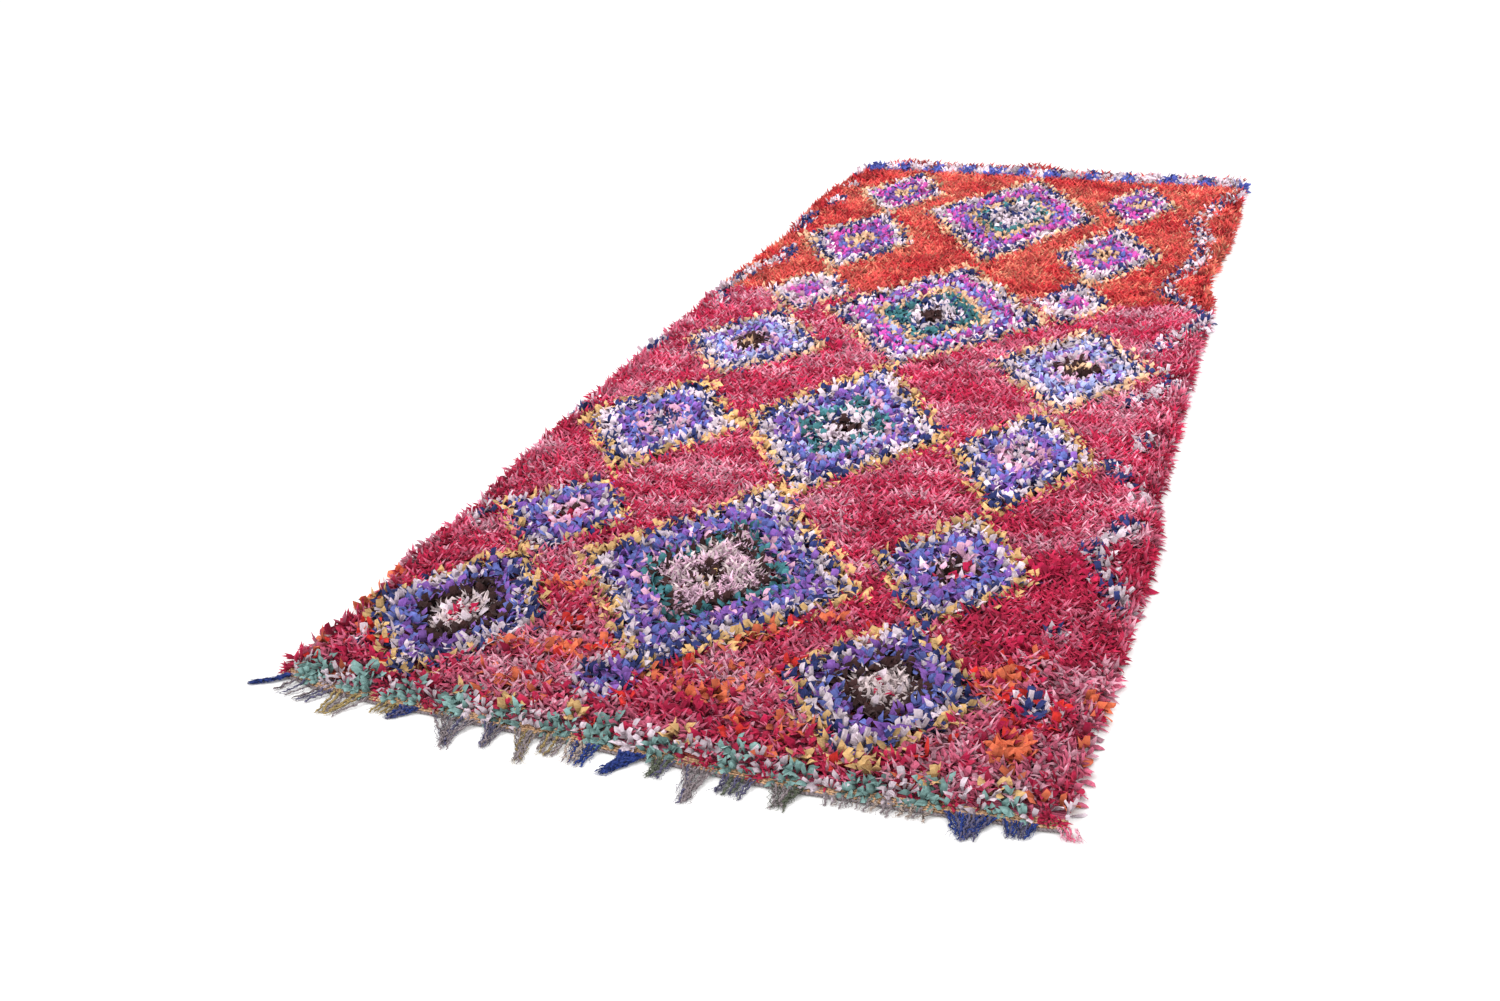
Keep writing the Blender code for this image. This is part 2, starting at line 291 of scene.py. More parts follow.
# Rags tied in where the yarn ran out
PATCHES = (
    Patch(0.17, 0.110, 0.080, 0.018, "velvet"),
    Patch(0.52, 0.100, 0.040, 0.016, "velvet"),
    Patch(0.71, 0.110, 0.090, 0.020, "velvet"),
    Patch(1.08, 0.080, 0.045, 0.015, "velvet"),
    Patch(1.27, 0.720, 0.120, 0.035, "velvet"),
    Patch(0.33, 0.640, 0.025, 0.020, "velvet"),
    Patch(0.47, 1.750, 0.020, 0.020, "velvet"),
    Patch(0.03, 0.300, 0.030, 0.045, "tangerine"),
    Patch(0.36, 0.420, 0.045, 0.030, "tangerine"),
    Patch(0.45, 0.220, 0.040, 0.028, "tangerine"),
    Patch(0.40, 0.100, 0.035, 0.020, "tangerine"),
    Patch(0.76, 0.370, 0.030, 0.022, "tangerine"),
    Patch(0.73, 0.170, 0.050, 0.030, "tangerine"),
    Patch(0.62, 0.210, 0.025, 0.025, "tangerine"),
    Patch(0.85, 0.270, 0.020, 0.035, "red"),
    Patch(0.96, 0.120, 0.040, 0.014, "tangerine"),
    Patch(1.20, 0.350, 0.030, 0.030, "tangerine"),
    Patch(1.27, 0.150, 0.050, 0.030, "tangerine"),
    Patch(1.37, 0.330, 0.030, 0.040, "tangerine"),
    Patch(0.30, 0.180, 0.020, 0.015, "red"),
    Patch(0.58, 0.250, 0.018, 0.014, "red"),
)

# Stepped triangles of the two borders: their middles across the rug
NEAR_STEPS = (0.05, 0.15, 0.245, 0.345, 0.445, 0.545, 0.62, 0.73, 0.85, 0.95, 1.06, 1.16, 1.27)
FAR_STEPS = (0.07, 0.17, 0.29, 0.41, 0.51, 0.61, 0.73, 0.86, 0.99, 1.135, 1.255, 1.38)
YELLOW_SPOTS = (0.34, 0.44, 0.55, 0.74, 0.95, 1.06, 1.16, 1.26)
STEP_HALF_WIDTH = 0.029
FAR_STEP_HALF_WIDTH = 0.034
NEAR_BORDER = 0.056      # how far the near steps reach from the band
FAR_BORDER = (3.592, 3.705)
FAR_BORDER_SLOPE = 0.028
YELLOW_SPOT_RADIUS = 0.014

# Zigzags beside the long sides, turn by turn
RIGHT_ZIGZAG = (
    Turn(1.36, 0.19), Turn(1.25, 0.28), Turn(1.37, 0.40), Turn(1.26, 0.51), Turn(1.35, 0.62),
    Turn(1.28, 0.83), Turn(1.34, 0.98), Turn(1.33, 1.10), Turn(1.26, 1.22), Turn(1.32, 1.38),
    Turn(1.24, 1.50), Turn(1.27, 1.60), Turn(1.34, 1.72), Turn(1.25, 1.85), Turn(1.30, 2.03),
    Turn(1.37, 2.20), Turn(1.24, 2.40), Turn(1.25, 2.50), Turn(1.31, 2.72), Turn(1.30, 2.94),
    Turn(1.26, 3.08), Turn(1.30, 3.25), Turn(1.33, 3.36), Turn(1.37, 3.52),
)
LEFT_ZIGZAG = (
    Turn(0.09, 0.15), Turn(0.03, 0.26), Turn(0.05, 0.37), Turn(0.10, 0.54), Turn(0.04, 0.64),
    Turn(0.10, 0.80), Turn(0.02, 1.00), Turn(0.00, 1.22), Turn(0.04, 1.33), Turn(0.10, 1.40),
    Turn(0.00, 1.60), Turn(0.03, 1.83), Turn(0.10, 1.95), Turn(0.02, 2.15), Turn(0.04, 2.35),
    Turn(0.10, 2.48), Turn(0.07, 2.60), Turn(0.03, 2.95), Turn(0.05, 3.08), Turn(0.08, 3.30),
    Turn(0.04, 3.42), Turn(0.02, 3.60),
)
ZIGZAG_HALF_WIDTH = 0.011
ZIGZAG_WHITES = 2.3      # how far the white rags beside it reach, in half widths
ZIGZAG_WHOLE_FROM = 1.6  # nearer than this it is broken more and more
ZIGZAG_NEAR_BREAKS = 0.75
ZIGZAG_WHITE_SHARE = 0.62    # of the knots beside it

# The ground's dye changes where one lot of yarn ran out
ORANGE_FROM = 2.18
ORANGE_SLOPE = 0.07
MIXED_BELOW = 0.46
DEEP_ACROSS = 0.72       # left end of the deep crimson field on the right
DEEP_ALONG = (0.34, 0.50)
DEEP_SLOPE = 0.6
STREAK_SIZE = (0.26, 0.035)
CLOUD_SIZE = (0.16, 0.16)
SPOT_SIZE = (0.040, 0.026)
CLOUDING = 0.4           # share of the clouds in the clouded streaks

# Lots of yarn in the ground, each laid over those before it in its zone, where its noise goes past a level
GROUND_LOTS = (
    Lot("rug", None, 0, "rose", "crimson", 0.45),
    Lot("rug", "clouded streaks", 0.20, "rose", "mauve", 0.50),
    Lot("rug", "clouded streaks", -0.18, "crimson", "rose", 0.25),
    Lot("deep", None, 0, "crimson", "rose", 0.10),
    Lot("mixed", "clouds", 0.12, "rose", "mauve", 0.40),
    Lot("mixed", "clouds", -0.20, "rose", "crimson", 0.45),
    Lot("mixed", "spots", 0.36, "tangerine", "red", 0.50),
    Lot("mixed", "spots", -0.38, "velvet", "crimson", 0.30),
    Lot("far", None, 0, "vermilion", "flame", 0.25),
    Lot("far", "clouds", 0.05, "scarlet", "vermilion", 0.45),
    Lot("far", "streaks", 0.30, "flame", "vermilion", 0.50),
)

# Warp ends of the near band, knotted in clumps; gather is how far a clump's tips are drawn together
NEAR_FRINGE = (
    Clump(0.02, 0.12, 0.050, 0.030, 0.10, 6, "taupe", "slate"),
    Clump(0.11, 0.19, 0.062, 0.018, 0.55, 6, "taupe", "olive"),
    Clump(0.21, 0.25, 0.032, 0.012, 0.20, 4, "olive", "taupe"),
    Clump(0.25, 0.29, 0.034, 0.026, 0.80, 10, "ink", "slate"),
    Clump(0.31, 0.41, 0.080, -0.014, 0.92, 9, "slate", "taupe"),
    Clump(0.41, 0.46, 0.058, -0.006, 0.80, 6, "taupe", "slate"),
    Clump(0.47, 0.52, 0.076, -0.020, 0.94, 6, "taupe", "olive"),
    Clump(0.52, 0.57, 0.048, 0.000, 0.20, 6, "olive", "taupe"),
    Clump(0.57, 0.63, 0.056, 0.000, 0.45, 8, "ink", "linen"),
    Clump(0.66, 0.71, 0.058, 0.030, 0.75, 13, "ink", "ink"),
    Clump(0.72, 0.76, 0.044, 0.004, 0.50, 6, "slate", "moss"),
    Clump(0.77, 0.83, 0.084, -0.006, 0.80, 8, "slate", "taupe"),
    Clump(0.84, 0.90, 0.046, 0.006, 0.30, 8, "moss", "slate"),
    Clump(0.92, 0.98, 0.054, 0.002, 0.60, 8, "moss", "taupe"),
    Clump(1.00, 1.18, 0.026, 0.004, 0.10, 13, "taupe", "linen"),
    Clump(1.19, 1.27, 0.052, 0.000, 0.60, 13, "ink", "slate"),
    Clump(1.27, 1.33, 0.034, 0.000, 0.40, 9, "slate", "ink"),
    Clump(1.35, 1.39, 0.024, -0.012, 0.30, 4, "rose", "mauve"),
)
HAIRS = 3                # loose fibres beside each twisted warp end
HAIR_THICKNESS = 0.30    # of its warp end
HAIR_SPREAD = 0.010
CORNER_TAIL = Clump(0.00, 0.012, 0.040, 0.056, 0.3, 8, "ink", "ink")
CRINKLE_LENGTH = 0.013   # of one wave in a warp end that was once woven
WARP_STEP = 0.0024       # between the points of a warp end
WARP_WANDER = 0.25       # how far a warp end strays sideways, for its length
WARP_BUNCH = 0.12        # and lengthwise
TAPER_FROM = 0.85        # where a warp end starts to thin out

# Wefts of the two bands, and the short warp ends left on the far one
NEAR_WEFTS = 5
FAR_WEFTS = 2
WEFT_STEPS = 190
WEFT_SWAY = 0.0012
WEFT_HEIGHT = 0.0032
WEFT_HUMP = 0.0008
FAR_WISPS = (0.10, 0.58, 0.62, 0.88, 0.90, 1.01, 1.08, 1.10)
WISP_CORDS = 4
WISP_SPACING = 0.008
WISP_THICKNESS = (0.5, 0.5, 0.5, 0.5, 0.45, 0.4, 0.3, 0.2)
WISP_SHARES = (0, 0.15, 0.3, 0.45, 0.6, 0.75, 0.9, 1.0)

# Knots: how many shapes each cut has, how many strands a shape has, and which knots are cut otherwise
RAG_SHAPES = 9
STRIP_SHAPES = 5
YARN_SHAPES = 8
RAG_LOBES = (1.0, 0.70, 0.50)
STRIP_ENDS = 5
YARN_ENDS = 12
ROLLED_SHARE = 0.35      # of the white knots, which are rolled strips and not torn rags
RAGGED_SHARE = 0.55      # of the ground's knots at the near end, which are torn jersey and not yarn
RAGGED_TO = 1.1          # how far along these reach
RAGGED_SIZE = 0.78       # of such a knot, beside one of the lozenges
YARN_TURN = 0.35         # share of the turn spread by which yarn is turned

# How the knots stand: they follow swells and lumps, and those at the rim lean out over the floor
SWELL_LENGTH = 0.200
SWELL_DEPTH = 0.10
LUMP_LENGTH = 0.060
LUMP_DEPTH = 0.12
STAGGER = 0.25           # of the knot pitch, to the left in one row and to the right in the next
EDGE_REACH = 0.050       # the outer knots lean out over this much of the rim
RIM_LEAN = math.radians(62)
NEAR_RIM_LEAN = 0.70     # share of it at the near end
NEAR_RIM_SMALLER = 0.42  # share by which the knots there are smaller
RIM_FROM = 0.35          # share of the rim from which a knot points straight outwards
RIM_SWING = 0.6          # radians to either side of it
RIM_FREE = 0.25          # share of the lean and turn spreads that is left there
SOFT_HEIGHT = 0.008      # what would hang lower is laid down on the floor
CORD_SOFT_HEIGHT = 0.003

# How bright the knots are: by patches along the rows, by clumps, and with painted shade at the near end
PATCHY_SIZE = (0.055, 0.026)
PATCHY = 0.42
PATCHY_FARTHER = 0.09    # more of it with each metre
CLUMP_SIZE = (0.080, 0.070)
CLUMPED = 0.15
CLUMPED_FARTHER = 0.30   # more of it at the far end
SHADES = (0.45, 1.5)
NEAR_SHADE = 0.72        # share of its brightness that the near end keeps, as painted shade
UNSHADED_FROM = 1.3        # from here on the pile has no painted shade

# The ground weave
GROUND_TOP = 0.0026      # upper face of the ground weave
GROUND_FOOT = 0.0004
GROUND_INSET = 0.006
GROUND_CELLS = (46, 122)
GROUND_RIB = 0.005       # from one weft of the ground to the next

# The camera, from the four corners of the rug in the photograph
CAMERA_PLACE = (0.89525, -3.60200, 1.41005)
CAMERA_AXES = (
    (0.93846663, -0.11537200, 0.32552986),
    (0.34254198, 0.43130272, -0.83465140),
    (-0.04410651, 0.89480013, 0.44428296),
)
CAMERA_LENS = 35.8165
CAMERA_SENSOR = 36
FLOOR_REACH = 40
SKY = (1.0, 0.99, 0.985, 1)
SKY_STRENGTH = 1.20
SOFTBOXES = (
    Softbox("key_softbox", (-3.2, -2.4, 4.6), 3.0, 120),
    Softbox("far_softbox", (3.4, 3.0, 4.6), 3.0, 60),
)


def linear(colour):
    """An sRGB hex colour as linear RGB."""
    shares = [int(colour[i:i + 2], 16) / 255 for i in (1, 3, 5)]
    return tuple(s / 12.92 if s <= 0.04045 else ((s + 0.055) / 1.055) ** 2.4 for s in shares)


def size_property(name, description, default):
    return bpy.props.FloatProperty(
        name=name, description=description, default=default, unit="LENGTH", precision=4)


def angle_property(name, description, degrees):
    return bpy.props.FloatProperty(
        name=name, description=description, default=math.radians(degrees), subtype="ANGLE")


class RugSizes(bpy.types.PropertyGroup):
    """Sizes that a weaver would choose."""

    knot_pitch: size_property("Knot pitch", "From one knot to the next along a row", 0.0186)
    row_pitch: size_property("Row pitch", "From one row of knots to the next", 0.0150)
    pile_length: size_property("Pile length", "From the ground weave to the tip of a rag", 0.035)
    rag_width: size_property("Rag width", "Width of a torn rag", 0.0210)
    strip_width: size_property("Strip width", "Width of a rolled end of cotton", 0.0075)
    yarn_width: size_property("Yarn width", "Width of one end of yarn", 0.0062)
    rag_thickness: size_property("Rag thickness", "Thickness of a folded rag", 0.0016)
    lean: angle_property("Lean", "How far a knot leans from upright", 18)
    lean_spread: angle_property("Lean spread", "How far a knot leans more or less than that", 10)
    turn_spread: angle_property("Turn spread", "How far a knot turns out of line", 95)
    weft_thickness: size_property("Weft thickness", "Thickness of the end band's cotton cords", 0.0058)
    warp_thickness: size_property("Warp thickness", "Thickness of a twisted warp end", 0.0042)
    seed: bpy.props.IntProperty(name="Seed", description="Another number ties other knots", default=7)


class RugDyes(bpy.types.PropertyGroup):
    """The dyes, each as a linear colour."""

    __annotations__ = {
        name: bpy.props.FloatVectorProperty(
            name=name.capitalize(), description=dye.use, default=linear(dye.colour), subtype="COLOR", size=3
        )
        for name, dye in DYES.items()
    }


def column(table, name):
    """One named column of a table, as an array."""
    return np.array([getattr(row, name) for row in table])


def eased(position, table, key, value):
    """A smooth reading of a table: a cosine blend between one row and the next."""
    keys = column(table, key)
    values = column(table, value)
    place = np.clip(np.searchsorted(keys, position) - 1, 0, len(keys) - 2)
    share = np.clip((position - keys[place]) / (keys[place + 1] - keys[place]), 0, 1)
    blend = (1 - np.cos(np.pi * share)) / 2
    return values[place] * (1 - blend) + values[place + 1] * blend


def left_edge(along):
    return -eased(along, SIDES, "along", "left")


def right_edge(along):
    return WIDTH + eased(along, SIDES, "along", "right")


def near_edge(across):
    """Outer edge of the near band."""
    return -eased(across, NEAR_END, "across", "out")


def far_edge(across):
    """Outer edge of the far band."""
    return LENGTH + eased(across, FAR_END, "across", "out")


def in_pile(share_across, share_along, band=BAND_WIDTH):
    """Places in the pile from shares of its width and length: across, along."""
    start = near_edge(share_across * WIDTH) + band
    end = far_edge(share_across * WIDTH) - FAR_BAND_WIDTH
    along = start + share_along * (end - start)
    left = left_edge(along)
    return left + share_across * (right_edge(along) - left), along


def on_floor(across, along, height=0.0):
    """A point given from the rug's left edge and near end, in the object's own frame."""
    return Vector((across - ORIGIN_ACROSS, along - ORIGIN_ALONG, height))


def soft_noise(across, along, size_across, size_along, layer):
    """Smooth noise from -1 to 1 at each place, with lumps of the given size."""
    return np.array([
        noise.noise(Vector((x / size_across, y / size_along, layer))) for x, y in zip(across, along)
    ])


def dye_number(name):
    return DYE_NAMES.index(name)


def lay_dye(chosen, where, dye, other, share, chance):
    """Gives the knots in a place one dye, and a share of them the other."""
    chosen[where] = np.where(chance[where] < share, dye_number(other), dye_number(dye))


def chart_ground(chosen, across, along, chance):
    """The yarn ground: crimson near, orange far, each streaked along the rows where a lot of yarn changed."""
    streaks = soft_noise(across, along, *STREAK_SIZE, 3.1)
    clouds = soft_noise(across, along, *CLOUD_SIZE, 7.7)
    noises = {
        "streaks": streaks,
        "clouds": clouds,
        "clouded streaks": streaks + CLOUDING * clouds,
        "spots": soft_noise(across, along, *SPOT_SIZE, 29.0),
    }
    deep_from, deep_to = DEEP_ALONG
    in_field = (along > deep_from) & (along < deep_to + DEEP_SLOPE * (across - DEEP_ACROSS))
    zones = {
        "rug": np.ones(len(across), bool),
        "deep": (across > DEEP_ACROSS) & in_field & (clouds > -0.35),
        "mixed": along < MIXED_BELOW + 0.05 * clouds,
        "far": along > ORANGE_FROM + ORANGE_SLOPE * across + 0.02 * streaks,
    }
    for lot in GROUND_LOTS:
        where = zones[lot.zone]
        if lot.past > 0:
            where = where & (noises[lot.noise] > lot.past)
        elif lot.past < 0:
            where = where & (noises[lot.noise] < lot.past)
        lay_dye(chosen, where, lot.dye, lot.other, lot.share, chance)


def chart_patches(chosen, across, along, chance):
    """Rags of one dye in a ragged heap, with a few knots of the ground between them."""
    ragged = soft_noise(across, along, 0.030, 0.022, 33.0)
    for patch in PATCHES:
        aside = (across - patch.across) / patch.half_width
        ahead = (along - patch.along) / patch.half_length
        lay_dye(chosen, np.hypot(aside, ahead) < 0.85 + 0.9 * ragged, patch.dye, "crimson", 0.18, chance)


def distance_to_turns(across, along, turns):
    """Distance to the nearest leg of a zigzag, and how far to the right of that leg each place lies."""
    nearest = np.full(len(across), np.inf)
    side = np.zeros(len(across))
    for start, end in zip(turns, turns[1:]):
        leg = np.array([end.across - start.across, end.along - start.along])
        reach = ((across - start.across) * leg[0] + (along - start.along) * leg[1]) / leg.dot(leg)
        reach = np.clip(reach, 0, 1)
        away_across = across - start.across - reach * leg[0]
        away_along = along - start.along - reach * leg[1]
        away = np.hypot(away_across, away_along)
        closer = away < nearest
        nearest = np.where(closer, away, nearest)
        side = np.where(closer, away_across, side)
    return nearest, side


def chart_zigzags(chosen, across, along, chance):
    """A navy line with white rags beside it, broken where the weaver ran short."""
    broken = soft_noise(across, along, 0.20, 0.12, 11.3)
    near = np.clip((ZIGZAG_WHOLE_FROM - along) / ZIGZAG_WHOLE_FROM, 0, 1)
    for turns, breaks_above, white_side in ((RIGHT_ZIGZAG, 0.45, 1), (LEFT_ZIGZAG, 0.10, -1)):
        away, side = distance_to_turns(across, along, turns)
        whole = broken < breaks_above - ZIGZAG_NEAR_BREAKS * near
        beside = whole & (away < ZIGZAG_WHITES * ZIGZAG_HALF_WIDTH) & (side * white_side > 0)
        lay_dye(chosen, beside & (chance < ZIGZAG_WHITE_SHARE), "lilac", "lilac", 0, chance)
        lay_dye(chosen, whole & (away < ZIGZAG_HALF_WIDTH), "navy", "lilac", 0.45, chance)


def chart_borders(chosen, across, along, chance):
    """Stepped triangles at both ends, with white rags between them."""
    from_near = along - near_edge(across) - BAND_SHOWING
    near = from_near < NEAR_BORDER
    lay_dye(chosen, near & (from_near < 0.7 * NEAR_BORDER), "lilac", "crimson", 0.30, chance)
    for middle in NEAR_STEPS:
        rise = np.clip(from_near / NEAR_BORDER, 0, 1)
        inside = near & (np.abs(across - middle) < STEP_HALF_WIDTH * (1.15 - 0.65 * rise))
        lay_dye(chosen, inside, "seafoam", "seafoam", 0, chance)
    for middle in YELLOW_SPOTS:
        spot = np.hypot(across - middle, from_near - NEAR_BORDER) < YELLOW_SPOT_RADIUS
        lay_dye(chosen, spot, "yellow", "yellow", 0, chance)
    start, end = FAR_BORDER
    level = along + FAR_BORDER_SLOPE * across
    far = (level > start) & (level < end)
    lay_dye(chosen, far, "lilac", "vermilion", 0.12, chance)
    for middle in FAR_STEPS:
        rise = np.clip((level - start) / (end - start), 0, 1)
        inside = far & (np.abs(across - middle) < FAR_STEP_HALF_WIDTH * (1.1 - 0.7 * rise))
        lay_dye(chosen, inside, "cobalt", "cobalt", 0, chance)
    lay_dye(chosen, level >= end, "vermilion", "scarlet", 0.45, chance)


def outline_starts(lozenge):
    """The share of a lozenge at which its white, navy and pale lines begin."""
    half_width = (lozenge.left + lozenge.right) / 2
    half_length = (lozenge.near + lozenge.far) / 2
    inner_radius = half_width * half_length / math.hypot(half_width, half_length)
    most = NEAR_OUTLINE_SHARE if lozenge.along < NEAR_WHITES else OUTLINE_SHARE
    return 1 - min(OUTLINE_WIDTH / inner_radius, most)


def lozenge_reach(lozenge, across, along):
    """How far out in a lozenge each place lies: 0 in its middle, 1 on its outline."""
    aside = across - lozenge.across
    ahead = along - lozenge.along
    share_across = np.abs(aside) / np.where(aside < 0, lozenge.left, lozenge.right)
    share_along = np.abs(ahead) / np.where(ahead < 0, lozenge.near, lozenge.far)
    return (share_across ** lozenge.fullness + share_along ** lozenge.fullness) ** (1 / lozenge.fullness)


def chart_lozenges(chosen, across, along, chance):
    """Each lozenge from its outline inwards, one ring over the other."""
    uneven = OUTLINE_WAVE * soft_noise(across, along, 0.05, 0.05, 5.9)
    for lozenge in LOZENGES:
        reach = lozenge_reach(lozenge, across, along) + uneven
        start = outline_starts(lozenge)
        width = 1 - start
        lay_dye(chosen, reach < 1, lozenge.outline, "navy", 0.08, chance)
        lay_dye(chosen, reach < start + NAVY_LINE * width, "navy", "lilac", 0.26, chance)
        if lozenge.along < NEAR_WHITES:
            lay_dye(chosen, reach < start + WHITE_LINE * width, "lilac", "purple", 0.30, chance)
        else:
            lay_dye(chosen, reach < start + WHITE_LINE * width, "lilac", "navy", 0.10, chance)
        for ring in reversed(lozenge.rings):
            lay_dye(chosen, reach < ring.reach * start, ring.dye, ring.other, ring.share, chance)


def chart_dyes(across, along, chance):
    """The dye of each knot, as a number in DYE_NAMES."""
    chosen = np.zeros(len(across), int)
    chart_ground(chosen, across, along, chance)
    chart_patches(chosen, across, along, chance)
    chart_zigzags(chosen, across, along, chance)
    chart_borders(chosen, across, along, chance)
    chart_lozenges(chosen, across, along, chance)
    return chosen


def add_node(tree, kind, links=None, **settings):
    """Adds one node with its settings. links gives its inputs: values, outputs, or nodes for their first."""
    node = tree.nodes.new(kind)
    for name, value in settings.items():
        setattr(node, name, value)
    for name, value in (links or {}).items():
        if isinstance(value, bpy.types.Node):
            value = value.outputs[0]
        if isinstance(value, bpy.types.NodeSocket):
            tree.links.new(value, node.inputs[name])
        else:
            node.inputs[name].default_value = value
    return node


def new_material(name):
    """An empty node material: its tree, and the material."""
    material = bpy.data.materials.new(name)
    material.use_nodes = True
    material.node_tree.nodes.clear()
    return material, material.node_tree


def fibre_finish(name, fibre, wrinkle, mottle, uneven_by, fleck_above, root_shade, bump, roughness):
    """Dyed cloth or yarn: the dye is each knot's own, with painted shade towards the roots between the tufts
    and in the creases, and its threads as bump.

    fibre, wrinkle and mottle are sizes in millimetres: of a thread, of a crease, and of the uneven dye.
    uneven_by is how far the dye strays, and a strand with a tone past fleck_above has the dye of the flecks.
    bump gives the depths of a thread and of a crease, in millimetres."""
    material, tree = new_material(name)
    place = add_node(tree, "ShaderNodeTexCoord").outputs["Object"]
    dye = add_node(tree, "ShaderNodeAttribute", attribute_name="tint")
    fleck = add_node(tree, "ShaderNodeAttribute", attribute_name="fleck")
    tone = add_node(tree, "ShaderNodeAttribute", attribute_name="tone").outputs["Fac"]
    reach = add_node(tree, "ShaderNodeAttribute", attribute_name="reach").outputs["Fac"]
    uneven = add_node(tree, "ShaderNodeTexNoise", {"Vector": place, "Scale": 1000 / mottle, "Detail": 2})
    threads = add_node(tree, "ShaderNodeTexNoise", {"Vector": place, "Scale": 1000 / fibre, "Detail": 2})
    creases = add_node(tree, "ShaderNodeTexNoise", {
        "Vector": place, "Scale": 1000 / wrinkle, "Detail": 1, "Distortion": 0.6})
    flecked = add_node(tree, "ShaderNodeMath", {0: tone, 1: fleck_above}, operation="GREATER_THAN")
    mixed = add_node(tree, "ShaderNodeMix", {"Factor": flecked, 6: dye, 7: fleck}, data_type="RGBA")
    shade = 1.0
    for source, low, high, darkest, lightest in (
        (uneven, 0.3, 0.7, 1 - uneven_by, 1 + uneven_by),
        # painted shade: darker towards the root, down between the tufts
        (reach, 0.20, 0.85, root_shade, 1.0),
        (tone, 0.0, 1.0, 0.94, 1.08),
        # painted shade: darker in the creases of the crumple
        (creases, 0.35, 0.60, 0.82, 1.0),
    ):
        share = add_node(tree, "ShaderNodeMapRange", {
            "Value": source, "From Min": low, "From Max": high, "To Min": darkest, "To Max": lightest})
        shade = add_node(tree, "ShaderNodeMath", {0: shade, 1: share}, operation="MULTIPLY")
    tint = add_node(tree, "ShaderNodeVectorMath", {0: mixed.outputs[2], "Scale": shade}, operation="SCALE")
    thread_depth, crease_depth = bump
    crumple = add_node(tree, "ShaderNodeBump", {
        "Height": creases, "Strength": 1.0, "Distance": crease_depth / 1000})
    relief = add_node(tree, "ShaderNodeBump", {
        "Height": threads, "Strength": 1.0, "Distance": thread_depth / 1000, "Normal": crumple})
    shader = add_node(tree, "ShaderNodeBsdfPrincipled", {
        "Base Color": tint, "Roughness": roughness, "Metallic": 0.0, "IOR": 1.5, "Specular IOR Level": 0.25,
        "Sheen Weight": 0.04, "Sheen Roughness": 0.5, "Normal": relief})
    add_node(tree, "ShaderNodeOutputMaterial", {"Surface": shader})
    return material


def cotton_rag_finish():
    """Torn cotton and jersey, soft and matt, crumpled so that light and shade break up each rag."""
    return fibre_finish(
        "torn_cotton_rag", fibre=2.0, wrinkle=8, mottle=14, uneven_by=0.16, fleck_above=0.86,
        root_shade=0.36, bump=(0.6, 2.5), roughness=0.85)


def yarn_finish():
    """Brushed acrylic yarn: matt and hairy, so that its edges are soft.

    Its hairs are drawn 1.8 mm apart, coarser than they are, so that they show."""
    return fibre_finish(
        "brushed_acrylic_yarn", fibre=1.8, wrinkle=7, mottle=5, uneven_by=0.22, fleck_above=0.92,
        root_shade=0.30, bump=(0.8, 2.0), roughness=0.95)


def cord_finish():
    """Twisted cotton warp and weft: dull, and flecked where two dyes are plied together."""
    return fibre_finish(
        "twisted_cotton_cord", fibre=1.2, wrinkle=6, mottle=6, uneven_by=0.16, fleck_above=0.70,
        root_shade=0.8, bump=(0.5, 1.0), roughness=0.90)


def ground_finish():
    """Flat-woven ground: ribs of weft over hidden warps, seen from below as a plain weave. Its dye is painted
    darker all over as the shade under the pile, and darkest between the ribs.
    """
    material, tree = new_material("plain_woven_ground")
    place = add_node(tree, "ShaderNodeTexCoord").outputs["Object"]
    dye = add_node(tree, "ShaderNodeAttribute", attribute_name="tint")
    ribs = 2 * math.pi / GROUND_RIB / 20    # the texture draws 20 radians for each unit of its scale
    weft = add_node(
        tree, "ShaderNodeTexWave", {"Vector": place, "Scale": ribs, "Distortion": 1.5, "Detail": 2},
        wave_type="BANDS", bands_direction="Y")
    height = weft.outputs["Fac"]
    # painted shade: the dye darkened all over as under the pile, and most between the ribs
    light = add_node(tree, "ShaderNodeMapRange", {"Value": height, "To Min": 0.45, "To Max": 0.8})
    tint = add_node(tree, "ShaderNodeVectorMath", {0: dye, "Scale": light}, operation="SCALE")
    relief = add_node(tree, "ShaderNodeBump", {"Height": height, "Strength": 1, "Distance": 0.001})
    shader = add_node(tree, "ShaderNodeBsdfPrincipled", {
        "Base Color": tint, "Roughness": 0.92, "Metallic": 0.0, "Normal": relief})
    add_node(tree, "ShaderNodeOutputMaterial", {"Surface": shader})
    return material


def floor_finish():
    """Matt white paper, with a faint grain."""
    material, tree = new_material("matt_white_paper")
    place = add_node(tree, "ShaderNodeTexCoord").outputs["Object"]
    grain = add_node(tree, "ShaderNodeTexNoise", {"Vector": place, "Scale": 3, "Detail": 1})
    tint = add_node(tree, "ShaderNodeMapRange", {"Value": grain, "To Min": 0.86, "To Max": 0.88})
    shader = add_node(tree, "ShaderNodeBsdfPrincipled", {"Base Color": tint, "Roughness": 0.95})
    add_node(tree, "ShaderNodeOutputMaterial", {"Surface": shader})
    return material


